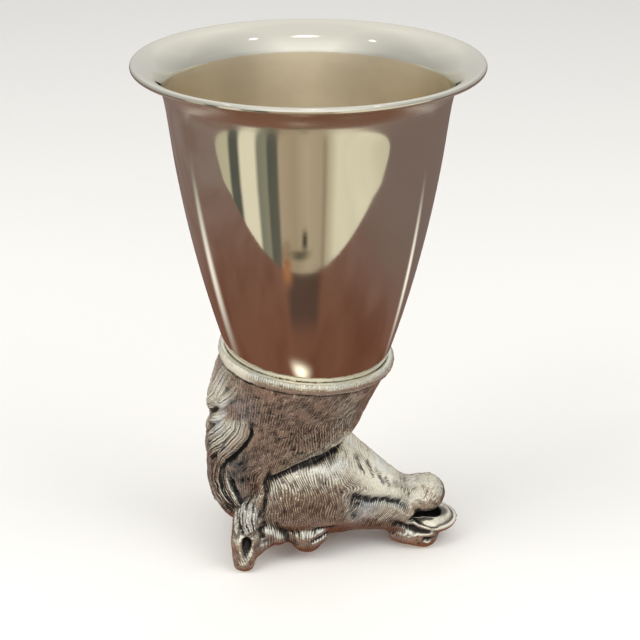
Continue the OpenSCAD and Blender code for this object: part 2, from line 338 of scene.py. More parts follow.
class BeakerLine:
    """The beaker's mid wall as tangent arcs in the plane of radius and height."""

    def __init__(self, sizes):
        self.sizes = sizes
        self.edge = sizes.lip_edge / 2
        self.half = sizes.wall / 2
        waist = Vector((sizes.waist_diameter / 2 - self.half, sizes.collar_height))
        shoulder_height = sizes.overall_height - self.edge - sizes.flare_height
        shoulder = Vector((sizes.body_diameter / 2 - self.half, shoulder_height))
        chord = (shoulder - waist).length
        self.side_r = chord * chord / (8 * sizes.body_bulge) + sizes.body_bulge / 2
        along = (shoulder - waist) / chord
        inward = Vector((-along.y, along.x))
        self.side_centre = (waist + shoulder) / 2 + inward * (self.side_r - sizes.body_bulge)
        foot_height = sizes.collar_height - sizes.base_drop
        self.foot_angle = self.side_angle(foot_height)
        self.shoulder_angle = self.side_angle(shoulder_height)
        foot = self.side_centre + self.side_r * self.spoke(-self.foot_angle)
        self.base_centre = foot - sizes.base_round * self.spoke(-self.foot_angle)
        drop = self.edge - self.half
        gain = sizes.lip_diameter / 2 - self.edge - shoulder.x - drop * LIP_LEAN_OUT
        rise = sizes.flare_height + drop * LIP_LEAN_UP
        self.flare_angle = 2 * math.atan(gain / rise) - self.shoulder_angle
        self.flare_r = rise / (math.sin(self.flare_angle) - math.sin(self.shoulder_angle))
        self.flare_centre = shoulder + self.flare_r * Vector((math.cos(self.shoulder_angle),
                                                              -math.sin(self.shoulder_angle)))
        self.lip_centre = self.flare_centre + self.flare_r * self.spoke(math.pi - self.flare_angle)
        self.shoulder_height = shoulder_height
        # The rolled edge is tangent to the inside of the wall and overlaps its outside
        self.bead_centre = self.lip_centre + (self.flare_centre - self.lip_centre) * drop / self.flare_r
        near, far = self.flare_r - self.half, self.flare_r - drop
        self.bead_lap = math.acos((near * near + far * far - self.edge * self.edge) / (2 * near * far))

    @staticmethod
    def spoke(angle):
        return Vector((math.cos(angle), math.sin(angle)))

    def side_angle(self, height):
        return math.asin((self.side_centre.y - height) / self.side_r)

    def start(self, off):
        """The point on the axis where the outline moved outwards by off begins."""
        return Vector((0, self.base_centre.y - self.sizes.base_round - off))

    def side_radius(self, height, off):
        """Radius of the wall moved outwards by off, at heights above the base rounding."""
        reach = self.side_r + off
        return self.side_centre.x + np.sqrt(reach * reach - (height - self.side_centre.y) ** 2)


def flat_vert(bm, point):
    """A vertex in the plane of radius and height."""
    return bm.verts.new((point.x, 0, point.y))


def draw_arc(bm, vert, centre, turn, steps):
    """Sweeps a vertex round a centre in the plane of radius and height, and returns the last one."""
    if abs(turn) < 1e-7:
        return vert
    done = bmesh.ops.spin(bm, geom=[vert], cent=(centre.x, 0, centre.y), axis=(0, -1, 0), angle=turn,
                          steps=steps)
    return [item for item in done["geom_last"] if isinstance(item, bmesh.types.BMVert)][0]


def draw_line(bm, vert, point):
    """Extrudes a vertex to a point in the plane of radius and height."""
    end = flat_vert(bm, point)
    bm.edges.new((vert, end))
    return end


def draw_wall(bm, line, off):
    """The wall's outline from the axis to the lip, moved outwards by off."""
    first = flat_vert(bm, line.start(off))
    vert = draw_line(bm, first, Vector((line.base_centre.x, line.start(off).y)))
    vert = draw_arc(bm, vert, line.base_centre, math.pi / 2 - line.foot_angle, BASE_STEPS)
    vert = draw_arc(bm, vert, line.side_centre, line.foot_angle - line.shoulder_angle, SIDE_STEPS)
    turn = line.flare_angle - line.shoulder_angle
    if off > 0:
        turn -= line.bead_lap
    return draw_arc(bm, vert, line.flare_centre, -turn, FLARE_STEPS)


def edges_of(verts):
    """The edges that meet a list of vertices."""
    return list({edge for vert in verts for edge in vert.link_edges})


def full_spin(bm, verts, edges, steps):
    """Spins an outline right round the upright axis."""
    bmesh.ops.spin(bm, geom=verts + edges, cent=(0, 0, 0), axis=(0, 0, 1), angle=2 * math.pi,
                   steps=steps, use_merge=True)


# Where the beaker's outline is eased and its finishes meet, in metres from the shoulder
EASE_BELOW = 0.012
EASE_ABOVE = 0.0035
EASE_PASSES = 30
DULL_BELOW = 0.002
FLARE_BELOW = 0.006
LINING_ABOVE = 0.003
# How far a point may lie from the mid wall or above the base and still count as inside
INSIDE_SLACK = 0.0003
BASE_SLACK = 0.001


def ease_shoulder(bm, line):
    """Softens the outline where the side meets the flare."""
    near = [vert for vert in bm.verts if -EASE_BELOW < vert.co.z - line.shoulder_height < EASE_ABOVE]
    for _ in range(EASE_PASSES):
        bmesh.ops.smooth_vert(bm, verts=near, factor=0.5, use_axis_x=True, use_axis_z=True)


def dull_flare(bm, line):
    """Stores that less polish reaches the hollow under the flare."""
    bm.normal_update()
    dull = bm.verts.layers.float.new("dull")
    for vert in bm.verts:
        if vert.co.z > line.shoulder_height - DULL_BELOW:
            vert[dull] = float(smooth_step(-0.1, -0.4, vert.normal.z))


def mark_lining(bm, line):
    """Gives the inside of the beaker its satin finish, up into the flare."""
    base = line.start(0.0).y
    for face in bm.faces:
        middle = face.calc_center_median()
        radius = math.hypot(middle.x, middle.y)
        within = radius < line.side_radius(middle.z, INSIDE_SLACK)
        within = within or middle.z > line.shoulder_height - FLARE_BELOW
        inward = face.normal.xy.dot(middle.xy) < 0
        inside = (within and inward) or middle.z < base + BASE_SLACK
        lining = inside and base < middle.z < line.shoulder_height + LINING_ABOVE
        face.material_index = 1 if lining else 0


class BuildBeaker(bpy.types.Operator):
    """Spin the beaker from its outline, polished outside and satin inside"""
    bl_idname = "stirrup_cup.beaker"
    bl_label = "Beaker"

    def execute(self, context):
        line = BeakerLine(context.scene.cup_beaker)
        finish = context.scene.cup_finish
        bm = bmesh.new()
        outer = draw_wall(bm, line, line.half)
        inner = draw_wall(bm, line, -line.half)
        # The rolled edge runs from the outside of the wall round to its inside
        begin = math.atan2(outer.co.z - line.bead_centre.y, outer.co.x - line.bead_centre.x)
        end = math.atan2(inner.co.z - line.bead_centre.y, inner.co.x - line.bead_centre.x)
        draw_arc(bm, outer, line.bead_centre, (end - begin) % (2 * math.pi), BEAD_STEPS)
        ease_shoulder(bm, line)
        full_spin(bm, bm.verts[:], bm.edges[:], context.scene.cup_beaker.turns)
        bmesh.ops.remove_doubles(bm, verts=bm.verts[:], dist=2e-6)
        bmesh.ops.recalc_face_normals(bm, faces=bm.faces[:])
        dull_flare(bm, line)
        mark_lining(bm, line)
        piece = new_piece("spun_beaker", bm, [polished_silver(finish.silver), satin_lining(finish.satin)])
        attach(piece, BODY)
        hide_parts("beaker")
        return {"FINISHED"}


# Sections of the casting in millimetres: back or lower x and z, front or upper x and z, half width, egg bias
NECK_SECTIONS = (
    (-24.2, 63.5, 23.0, 59.7, 23.6, 0.0),
    (-24.4, 60.3, 22.1, 56.5, 23.1, 0.0),
    (-26.6, 52.0, 19.5, 51.0, 20.4, 0.03),
    (-27.9, 43.0, 16.1, 43.5, 17.2, 0.06),
    (-28.7, 34.5, 13.1, 37.0, 14.8, 0.1),
    (-28.8, 26.0, 6.5, 31.5, 13.2, 0.1),
    (-28.2, 18.5, -3.5, 25.0, 12.2, 0.06),
    (-25.8, 12.0, -10.5, 18.0, 11.2, 0.0),
    (-21.3, 8.0, -13.5, 12.0, 9.2, 0.0),
)
HEAD_SECTIONS = (
    (-21.6, 9.8, -19.0, 20.0, 9.5, 0.0),
    (-16.0, 6.2, -13.5, 27.6, 13.3, 0.0),
    (-8.5, 4.8, -6.0, 31.0, 15.3, 0.02),
    (0.0, 4.4, 1.5, 32.4, 15.5, 0.02),
    (8.0, 4.6, 9.0, 33.0, 13.9, -0.04),
    (14.0, 4.8, 14.5, 30.4, 11.1, -0.1),
    (20.0, 4.4, 20.5, 24.8, 9.2, -0.12),
    (25.0, 3.4, 25.5, 20.2, 8.3, -0.08),
    (28.5, 2.6, 29.0, 17.6, 8.0, 0.0),
    (30.6, 5.2, 31.0, 15.8, 5.9, 0.0),
)
# Power that squares a section's round towards a box
NECK_POWER = 1.0
HEAD_POWER = 0.76
# Corners of a section, and steps from one section to the next
LOFT_SIDES = 56
LOFT_STEPS = 4
# Collar: gap to the beaker, below zero where it overlaps, middle, height and tilt of its edge
COLLAR_GAP = -0.15
COLLAR_X = -0.6
COLLAR_Z = 61.6
COLLAR_TILT = math.radians(4.6)


def curve_through(rows, steps):
    """Rows of equal length stepped along a smooth curve through them."""
    rows = np.array(rows)
    eased = []
    last = len(rows) - 1
    for i in range(last):
        before, here, there, after = rows[max(i - 1, 0)], rows[i], rows[i + 1], rows[min(i + 2, last)]
        for k in range(steps):
            t = k / steps
            slope = (there - before) * t
            bend = (2 * before - 5 * here + 4 * there - after) * t * t
            twist = (3 * here - before - 3 * there + after) * t * t * t
            eased.append((2 * here + slope + bend + twist) / 2)
    eased.append(rows[-1])
    return eased


def boxed(value, power):
    """A cosine or sine squared off towards a box."""
    return math.copysign(abs(value) ** power, value)


def add_ring(bm, section, power):
    """A section's ring of vertices, placed."""
    ring = bmesh.ops.create_circle(bm, segments=LOFT_SIDES, radius=1)["verts"]
    for vert in ring:
        along = boxed(vert.co.x, power)
        vert.co = (along, boxed(vert.co.y, power) * (1 + section[5] * along), 0)
    reach = Vector((section[2] - section[0], 0, section[3] - section[1])) / 2
    middle = Vector((section[2] + section[0], 0, section[3] + section[1])) / 2
    across = Vector((0, section[4], 0))
    place = Matrix((reach, across, reach.cross(across).normalized())).transposed().to_4x4()
    place.translation = middle
    bmesh.ops.transform(bm, matrix=place, verts=ring)
    return edges_of(ring)


def add_loft(bm, sections, power):
    """A closed skin over smoothed sections."""
    rings = [add_ring(bm, section, power) for section in curve_through(sections, LOFT_STEPS)]
    for first, second in zip(rings, rings[1:]):
        bmesh.ops.bridge_loops(bm, edges=first + second)
    bmesh.ops.contextual_create(bm, geom=rings[0])
    bmesh.ops.contextual_create(bm, geom=rings[-1])


def add_ball(bm, place, radii):
    """An ellipsoid."""
    matrix = Matrix.Translation(place) @ Matrix.Diagonal((radii[0], radii[1], radii[2], 1))
    return bmesh.ops.create_uvsphere(bm, u_segments=28, v_segments=18, radius=1, matrix=matrix)["verts"]


def add_hull(bm, balls):
    """The hull over a few ellipsoids."""
    verts = []
    for place, radii in balls:
        verts += add_ball(bm, place, radii)
    done = bmesh.ops.convex_hull(bm, input=verts)
    spare = [item for item in done["geom_interior"] if isinstance(item, bmesh.types.BMVert)]
    bmesh.ops.delete(bm, geom=spare, context="VERTS")


def add_pair(bm, balls):
    """A hull on each side of the head."""
    for side in (1, -1):
        add_hull(bm, [((x, side * y, z), radii) for (x, y, z), radii in balls])


def round_ball(x, y, z, r):
    return ((x, y, z), (r, r, r))


# The open upper lip: middle and half sizes in millimetres
LIP = ((35.6, 0, 6.2), (7.8, 8.1, 2.4))


def add_face_forms(bm):
    """Forelock, brow, eye, nostril, lips and ears, standing out of the head."""
    forelock = (round_ball(-15.0, 14.0, 9.6, 2.8), round_ball(-11.5, 12.6, 9.2, 3.0))
    front_curl = [((-8.4, 13.6, 7.9), (2.6, 2.3, 2.5))]
    back_curl = [((-11.6, 13.4, 6.6), (2.2, 2.0, 2.2))]
    brow = (round_ball(-7.5, 11.0, 8.2, 3.2), round_ball(2.6, 11.7, 7.8, 3.0))
    eye = [((-0.4, 12.1, 6.6), (4.6, 3.6, 4.3))]
    nostril = (round_ball(27.0, 4.0, 4.0, 3.8), round_ball(33.4, 4.9, 3.9, 4.4))
    for form in (forelock, front_curl, back_curl, brow, eye, nostril):
        add_pair(bm, form)
    lip_root = ((28.0, 0, 5.4), (4.0, 7.9, 3.0))
    chin_root = ((27.5, 0, 14.4), (4.0, 6.9, 3.8))
    chin_ball = ((34.2, 0, 14.8), (5.4, 6.7, 4.7))
    chin_foot = ((33.4, 0, 12.3), (5.4, 6.6, 1.7))
    for form in ((lip_root, LIP), (chin_root, chin_ball, chin_foot)):
        add_hull(bm, form)
    ear_root = ((-16.6, 11.5, 14.5), (4.6, 3.6, 3.0))
    ear_middle = ((-17.8, 15.9, 7.85), (4.1, 3.0, 4.0))
    ear_tip = ((-18.1, 18.5, 2.2), (3.0, 1.9, 2.4))
    ear_web = (round_ball(-16.2, 16.6, 4.8, 2.2), round_ball(-12.0, 14.0, 6.8, 2.0))
    for form in ((ear_root, ear_middle), (ear_middle, ear_tip), ear_web):
        add_pair(bm, form)


# Rolled edge of the collar in millimetres: radius of the ring, half sizes of its section, drop of its middle
HEM_RADIUS = 22.95
HEM_HALF_WIDTH = 1.35
HEM_HALF_HEIGHT = 1.8
HEM_DROP = 1.55
HEM_TURNS = 128


def add_hem(bm):
    """The rolled edge of the collar: a ring of small circles, tilted."""
    before = set(bm.verts)
    ring = bmesh.ops.create_circle(bm, segments=24, radius=1)["verts"]
    shape = Matrix.Diagonal((HEM_HALF_WIDTH, HEM_HALF_HEIGHT, 1, 1))
    turn = Matrix.Translation((HEM_RADIUS, 0, 0)) @ Matrix.Rotation(math.pi / 2, 4, "X") @ shape
    bmesh.ops.transform(bm, matrix=turn, verts=ring)
    full_spin(bm, ring, edges_of(ring), HEM_TURNS)
    made = [vert for vert in bm.verts if vert not in before]
    tilt = Matrix.Translation((COLLAR_X, 0, COLLAR_Z - HEM_DROP)) @ Matrix.Rotation(COLLAR_TILT, 4, "Y")
    bmesh.ops.transform(bm, matrix=tilt, verts=made)


# Room in the casting for the beaker and its fixing, in millimetres
ROOM_FLOOR = 39.6
ROOM_RADIUS = 12.9
LEDGE_HEIGHT = 46.6
LEDGE_RADIUS = 14.65
BASE_FOOT = 50.6
BASE_REACH = 10.62
BASE_OVERLAP = 1.5
COLLAR_RIM = 61.0
ABOVE_RIM = 66.0
ROOM_TOP = 74.0
ROOM_STEP = 0.5
ROOM_TURNS = 96


def room_radius(line, height):
    """Radius of the room round the beaker at a height in millimetres."""
    depth = line.base_centre.y / MM - height
    if depth > BASE_OVERLAP:
        reach = math.sqrt(max(BASE_REACH * BASE_REACH - depth * depth, 0))
        return max(line.base_centre.x / MM + reach, LEDGE_RADIUS)
    return max(float(line.side_radius(height * MM, line.half)) / MM + COLLAR_GAP, LEDGE_RADIUS)


def add_room(bm, line):
    """The room for the beaker and its fixing."""
    before = set(bm.verts)
    vert = flat_vert(bm, Vector((0, ROOM_FLOOR)))
    step = ((ROOM_RADIUS, ROOM_FLOOR), (ROOM_RADIUS, LEDGE_HEIGHT), (LEDGE_RADIUS, LEDGE_HEIGHT))
    for radius, height in step:
        vert = draw_line(bm, vert, Vector((radius, height)))
    for height in (*np.arange(BASE_FOOT, COLLAR_RIM, ROOM_STEP), COLLAR_RIM, ABOVE_RIM, ROOM_TOP):
        vert = draw_line(bm, vert, Vector((room_radius(line, height), height)))
    draw_line(bm, vert, Vector((0, ROOM_TOP)))
    drawn = [item for item in bm.verts if item not in before]
    full_spin(bm, drawn, edges_of(drawn), ROOM_TURNS)
    made = [item for item in bm.verts if item not in before]
    bmesh.ops.remove_doubles(bm, verts=made, dist=0.001)


def add_cutters(bm, line):
    """Room for the beaker and its fixing, the open mouth and the cups of the ears."""
    add_room(bm, line)
    throat = (((24.0, 0, 9.4), (4.0, 5.7, 2.6)), ((32.0, 0, 9.4), (4.0, 6.3, 1.6)))
    lip_gap = (((30.0, 0, 9.4), (3.0, 9.3, 1.5)), ((43.4, 0, 9.7), (4.0, 9.3, 1.8)))
    lip_pit = [((34.4, 0, 7.6), (4.2, 3.3, 2.6))]
    for form in (throat, lip_gap, lip_pit):
        add_hull(bm, form)
    ear_cup = (((-17.3, 18.6, 8.8), (1.5, 2.6, 2.0)), ((-17.6, 20.4, 6.2), (1.5, 1.8, 1.6)))
    ear_slit = [((-17.7, 21.2, 4.6), (1.5, 1.5, 2.2))]
    for form in (ear_cup, ear_slit):
        add_pair(bm, form)


def scaled_mesh(bm, name):
    """A temporary object from a bmesh drawn in millimetres."""
    bmesh.ops.recalc_face_normals(bm, faces=bm.faces[:])
    bmesh.ops.scale(bm, vec=(MM, MM, MM), verts=bm.verts[:])
    return new_piece(name, bm, [], smooth=False)


def add_remesh(piece, cell):
    """One closed skin over everything in the piece."""
    modifier = piece.modifiers.new("Skin", "REMESH")
    modifier.mode = "VOXEL"
    modifier.voxel_size = cell


def baked_mesh(piece, name):
    """The piece's mesh with its modifiers applied; the temporary piece is dropped."""
    depsgraph = bpy.context.evaluated_depsgraph_get()
    mesh = bpy.data.meshes.new_from_object(piece.evaluated_get(depsgraph))
    mesh.name = name
    bpy.data.objects.remove(piece)
    return mesh


def head_skin(line, sizes):
    """The casting's smooth form: joined, hollowed and re-skinned."""
    bm = bmesh.new()
    add_loft(bm, NECK_SECTIONS, NECK_POWER)
    add_loft(bm, HEAD_SECTIONS, HEAD_POWER)
    add_face_forms(bm)
    add_hem(bm)
    blank = scaled_mesh(bm, "head_blank")
    add_remesh(blank, sizes.cell)
    cut = bmesh.new()
    add_cutters(cut, line)
    cutter = scaled_mesh(cut, "head_cutter")
    add_remesh(cutter, sizes.cell)
    room = blank.modifiers.new("Room", "BOOLEAN")
    room.operation = "DIFFERENCE"
    room.solver = "MANIFOLD"
    room.object = cutter
    add_remesh(blank, sizes.cell)
    ease = blank.modifiers.new("Ease", "SMOOTH")
    ease.factor = 0.5
    ease.iterations = sizes.smoothing
    mesh = baked_mesh(blank, "cast_head")
    bpy.data.objects.remove(cutter)
    return mesh


def near_line(x, z, path):
    """Distance, signed distance and place along a path drawn in the side view."""
    best = np.full(x.shape, 1e9)
    signed = np.zeros(x.shape)
    place = np.zeros(x.shape)
    total = sum(math.dist(a, b) for a, b in zip(path, path[1:]))
    start = 0.0
    for (x0, z0), (x1, z1) in zip(path, path[1:]):
        length = math.dist((x0, z0), (x1, z1))
        dx, dz = (x1 - x0) / length, (z1 - z0) / length
        t = np.clip((x - x0) * dx + (z - z0) * dz, 0, length)
        off_x, off_z = x - x0 - t * dx, z - z0 - t * dz
        distance = np.hypot(off_x, off_z)
        closer = distance < best
        best = np.where(closer, distance, best)
        signed = np.where(closer, np.sign(dx * off_z - dz * off_x) * distance, signed)
        place = np.where(closer, (start + t) / total, place)
        start += length
    return best, signed, place


def scatter(i, j, seed):
    """A repeatable number from 0 to 1 for each pair of whole numbers."""
    value = np.sin(i * 127.1 + j * 311.7 + seed * 74.7) * 43758.5453
    return value - np.floor(value)


def tufts(across, along, width, length, seed):
    """Leaf-shaped tufts in staggered columns: 0 between them, 1 on their ridges."""
    best = np.zeros(across.shape)
    column = np.floor(across / width)
    for step in (-1, 0, 1):
        i = column + step
        shift = scatter(i, np.zeros_like(i), seed)
        row = np.floor(along / length + shift)
        for drop in (0, 1):
            j = row + drop
            sway = (scatter(i, j, seed + 1) - 0.5) * 0.7
            middle = (i + 0.5 + sway) * width
            t = (along / length + shift - j) / 1.3 + (0.0 if drop == 0 else 0.55)
            t = np.clip(t, 0, 1)
            breadth = width * (0.35 + 0.5 * np.sin(np.pi * t) ** 0.8)
            leaf = np.clip(1 - ((across - middle) / breadth) ** 2, 0, 1)
            size = 0.55 + 0.45 * scatter(i, j, seed + 2)
            best = np.maximum(best, leaf * np.sin(np.pi * t) ** 0.6 * size)
    return best


# Turn of the finish's comb for each unit across the hairs
COMB = 20 * COMB_SCALE
# Paths in the side view, in millimetres
FOLD = ((-12.5, 24.5), (-11, 26), (-6.5, 28.5), (-2.5, 30.5), (2.5, 32), (7.5, 33), (12, 34.5))
BACK_CREASE = ((13.3, 30.1), (14.3, 28.6), (14.9, 27.4), (15.8, 25.8))
MIDDLE_CREASE = ((13.8, 30.5), (15.6, 28.9), (17.0, 27.4), (17.7, 26.0), (18.5, 23.8))
FRONT_CREASE = ((19.1, 25.2), (20.3, 23.4), (21.5, 21.0))
CHIN_LINES = (((32.0, 16.7), (33.0, 18.2)), ((33.2, 16.4), (34.3, 18.4)), ((34.6, 16.3), (35.6, 18.0)))
BROW_HAIRS = (
    ((-7.2, 12.8), (-5.6, 10.6), (-4.4, 8.2)),
    ((-5.2, 12.6), (-3.6, 10), (-2.8, 7.2)),
    ((-3.0, 12), (-1.6, 9.4), (-1.0, 6.6)),
)
# Grooves and ridges of the relief: path, half width, height in millimetres
GROOVES = (
    (FOLD, 0.75, 0.9),
    (((-10.5, 30), (-11.5, 26), (-12, 21), (-12.5, 18), (-13, 15)), 1.0, 0.9),
    (((13.5, 22), (13, 19), (13, 15), (13.5, 11)), 1.4, 0.8),
    (((14, 19.5), (18, 17.5), (22, 17), (25.5, 15.5), (27.5, 14)), 0.9, 0.8),
    (((25, 9.5), (28, 7.5), (32, 6.3), (36, 5.9)), 0.9, 0.9),
    (BACK_CREASE, 0.7, 0.32),
    (MIDDLE_CREASE, 0.7, 0.32),
    (FRONT_CREASE, 0.7, 0.32),
    (CHIN_LINES[0], 0.4, 0.1),
    (CHIN_LINES[1], 0.4, 0.12),
    (CHIN_LINES[2], 0.4, 0.1),
    (((0.5, 7), (3.5, 8.3), (6, 9.4)), 0.55, 0.7),
    (((2.0, 10.8), (5, 11.2), (8.0, 11.0)), 0.6, 0.5),
)
RIDGES = (
    (((-10, 26.5), (-3, 28.6), (3, 29.4), (7.5, 29.6)), 1.4, 0.5),
    (((2.0, 12.0), (5, 12.5), (8.0, 12.2)), 0.7, 0.3),
    (((29, 2.8), (31, 5.6), (34.5, 5.4), (37, 5.3)), 0.6, 0.5),
    (((25.5, 6), (26.8, 3.2), (29.5, 2.4)), 0.6, 0.5),
    (((2.2, 9.2), (4, 10), (5.8, 10.4)), 1.3, 0.6),
    (BROW_HAIRS[0], 0.5, 0.35),
    (BROW_HAIRS[1], 0.5, 0.35),
    (BROW_HAIRS[2], 0.5, 0.35),
)
# Painted shade along the fold, creases and eye (amount below zero) and painted highlight along ridges, brow,
# chin edge and nostril: path, half width, amount
SHADE_AND_HIGHLIGHT_LINES = (
    (((-11, 25.5), (-6.5, 27.7), (-3, 29.2), (2.5, 30.6), (7, 31.4)), 0.9, -0.22),
    (((-10, 26), (-3, 28), (3, 28.7), (8, 28.6)), 1.2, 0.16),
    (CHIN_LINES[0], 0.45, -0.12),
    (CHIN_LINES[1], 0.45, -0.18),
    (CHIN_LINES[2], 0.45, -0.14),
    (((29.4, 13.9), (32.5, 13.5), (35.5, 13.1), (37.5, 13.3)), 0.45, 0.4),
    (((14, 19.5), (18, 17.5), (22, 16.8), (25.5, 15.6), (27.8, 14)), 1.0, -0.5),
    (((16.5, 14.8), (19, 13.9), (22, 12.9), (25.2, 11.8)), 1.2, 0.3),
    (((13.2, 21), (12.8, 17), (12.8, 13), (13.2, 10.5)), 1.5, 0.04),
    (((25, 8.8), (28, 7.3), (32, 6.5), (36, 6.2)), 0.8, -0.55),
    (((25.5, 6), (26.8, 4), (29.5, 3)), 0.8, 0.25),
    (((2.0, 12.2), (5, 12.6), (8, 12.3)), 0.5, 0.3),
    (BROW_HAIRS[0], 0.5, 0.25),
    (BROW_HAIRS[1], 0.5, 0.3),
    (((-9.0, 13), (-7.2, 10.4), (-6.2, 7.6)), 0.7, -0.4),
    (((31.0, 2.8), (32.4, 4.4)), 0.5, 0.35),
    (BACK_CREASE, 0.4, -0.42),
    (MIDDLE_CREASE[:3], 0.36, -0.3),
    (((16.8, 27.6), (17.7, 26.0), (18.5, 23.8)), 0.4, -0.42),
    (FRONT_CREASE, 0.4, -0.42),
    (((22.1, 22.2), (23.2, 20.0)), 0.36, -0.36),
    (((10.5, 31.6), (11.6, 29.2)), 0.36, -0.25),
    (((18.3, 27.4), (19.4, 26.6)), 0.34, -0.4),
    (((20.2, 26.0), (21.4, 25.4)), 0.34, -0.35),
    (((21.6, 24.6), (23.0, 24.0)), 0.34, -0.35),
    (((24.4, 20.4), (26.6, 18.8), (28.6, 17.6)), 0.5, -0.35),
    (((2.0, 11.0), (5, 11.3), (8, 11)), 0.45, -0.35),
)
# Locks of the mane: path, half width, height, height of a strand in millimetres
LOCKS = (
    (((-24.4, 60), (-26.4, 53), (-27.6, 47), (-28, 42)), 3.6, 0.55, 0.06),
    (((-27.4, 48), (-28.4, 40), (-28.8, 33), (-28.8, 27)), 3.0, 0.55, 0.06),
    (((-28.7, 37), (-28.8, 28), (-28.3, 20), (-25.4, 11.5)), 3.4, 0.5, 0.06),
    (((-21.0, 61), (-23.2, 56), (-25.4, 50), (-28.2, 43)), 4.2, 1.1, 0.09),
    (((-18.5, 57), (-20.6, 53), (-23.4, 49.2), (-27.2, 45)), 1.9, 0.9, 0.07),
    (((-21.2, 48), (-24.0, 44.2), (-28.2, 39)), 1.7, 0.9, 0.06),
    (((-20.8, 46.5), (-23.3, 41), (-26, 37), (-28.6, 32)), 2.7, 0.9, 0.09),
    (((-19.2, 48), (-20.3, 42), (-23, 37.3), (-26.3, 33), (-28, 28)), 3.1, 1.2, 0.09),
    (((-18.2, 48.6), (-17.2, 44.8), (-18.2, 40.5), (-21, 35.8), (-23.6, 32), (-24.8, 27)), 2.8, 1.7, 0.09),
    (((-23.6, 35), (-25.3, 28), (-26, 23), (-24.5, 19), (-20.6, 15.6)), 2.6, 0.9, 0.09),
    (((-26.2, 34), (-27.8, 26.5), (-27.6, 21.5), (-25.6, 17.3), (-21.6, 13.4)), 2.8, 0.8, 0.08),
    (((-22.4, 31.5), (-23.3, 26), (-22.6, 22.3), (-20.8, 19.2), (-18.6, 16)), 1.6, 0.7, 0.08),
    (((-15.2, 20.5), (-16.6, 17), (-17.0, 14.3), (-15.6, 10.6)), 2.8, 0.75, 0.1),
    (((-20.0, 17), (-20.2, 13.5), (-19.5, 10.2)), 1.0, 0.9, 0.05),
)
# Gaps between the locks: path, half width, depth
LOCK_GAPS = (
    (((-23.7, 49.4), (-26.3, 44.5), (-28.6, 38.5)), 0.7, 1.0),
    (((-15.9, 45), (-15.9, 41), (-17.8, 37), (-20.5, 33.3), (-22.2, 29.5)), 0.9, 1.2),
    (((-21.6, 25), (-20.8, 22), (-19.6, 19.6)), 0.7, 1.1),
    (((-18.4, 16.5), (-18.8, 14), (-18.2, 11)), 0.5, 0.7),
    (((-13.2, 12.5), (-13.0, 10.5), (-12.6, 8.5)), 0.8, 1.0),
)


def line_relief(x, z, lines, sign):
    """Summed grooves or ridges drawn in the side view."""
    total = np.zeros(x.shape)
    for path, width, height in lines:
        distance, _, place = near_line(x, z, path)
        ends = smooth_step(0, 0.18, place) * smooth_step(0, 0.22, 1 - place)
        total += sign * height * np.exp(-(distance / width) ** 2) * (0.25 + 0.75 * ends)
    return total


def painted_shade_and_highlight(x, z):
    """Painted shade and painted highlight added along the lines."""
    total = np.zeros(x.shape)
    for path, width, amount in SHADE_AND_HIGHLIGHT_LINES:
        total += amount * np.exp(-(near_line(x, z, path)[0] / width) ** 2)
    return total


# The nape and the middle of the neck at the heights of the sections, from the ears up
NECK_HEIGHTS = [section[1] for section in NECK_SECTIONS[:0:-1]]
NECK_BACKS = [section[0] for section in NECK_SECTIONS[:0:-1]]
NECK_MIDDLES = (-17.5, -17, -14.5, -11, -8, -6, -3.5, -1.2)


def unrolled(x, z):
    """The side view's x with the round of the nape laid flat."""
    middle = np.interp(z, NECK_HEIGHTS, NECK_MIDDLES)
    depth = middle - np.interp(z, NECK_HEIGHTS, NECK_BACKS)
    return middle - depth * np.arcsin(np.clip((middle - x) / depth, -1, 1))


def lock_relief(x, z):
    """Overlapping locks of hair that swell towards their tips, with the coordinates of the topmost lock and a
    share that gives its crest painted highlight and its edges painted shade.
    """
    x = unrolled(x, z)
    total = np.zeros(x.shape)
    across = np.zeros(x.shape)
    along = np.zeros(x.shape)
    lock_light_and_shade = np.zeros(x.shape)
    for number, (path, width, height, strand) in enumerate(LOCKS):
        path = [(float(unrolled(a, b)), b) for a, b in path]
        distance, signed, place = near_line(x, z, path)
        taper = 0.2 + 0.8 * np.sin(np.pi * (0.08 + 0.87 * place)) ** 0.8
        breadth = width * taper
        body = np.sqrt(np.clip(1 - (distance / breadth) ** 2, 0, 1))
        root = smooth_step(0, 0.2, place)
        swell = (0.3 + 0.7 * smooth_step(0, 0.85, place)) * root * smooth_step(0, 0.13, 1 - place)
        comb = 600 + 40 * number + 0.72 * signed / np.maximum(taper, 0.6)
        strands = -strand * np.cos(COMB * comb)
        broad = np.cos(2 * np.pi * signed / (1.9 * np.maximum(taper, 0.5)) + number)
        rise = body * swell * height + (strands + 0.14 * broad) * body * root
        top = rise > total
        total = np.where(top, rise, total)
        across = np.where(top, comb, across)
        along = np.where(top, place * 20, along)
        # Painted highlight on the middle of each lock and its broad strands, painted shade towards its edges
        lock_light_and_shade = np.where(top, body * body + 0.45 * broad, lock_light_and_shade)
    return total, across, along, lock_light_and_shade


def lumps(points, size, seed):
    """Soft unevenness of a hand-modelled surface, about -1 to 1."""
    x, y, z = points[:, 0] / size, np.abs(points[:, 1]) / size, points[:, 2] / size
    first = np.sin(2.1 * x + 1.3 * z + seed) * np.sin(1.7 * z - 0.8 * y + 2 * seed)
    second = np.sin(3.7 * x - 2.9 * z + 1.9 * y + 3 * seed) * np.sin(3.1 * y + 2.3 * z)
    return 0.6 * first + 0.4 * second


# Soft spots in the side view, in millimetres: x, z, half width, half height
EYE = (1, 7, 6, 4.5)
JAW = (21, 26, 8, 5)
MUZZLE = (26, 20, 6, 5)
FROSTED_JAW = (21.5, 23, 10, 8)
CHIN = (34, 16, 6, 4)
NOSE = (30, 3.5, 6, 2.5)
NOSTRIL = (34.4, 3.7, 1.7, 1.1)
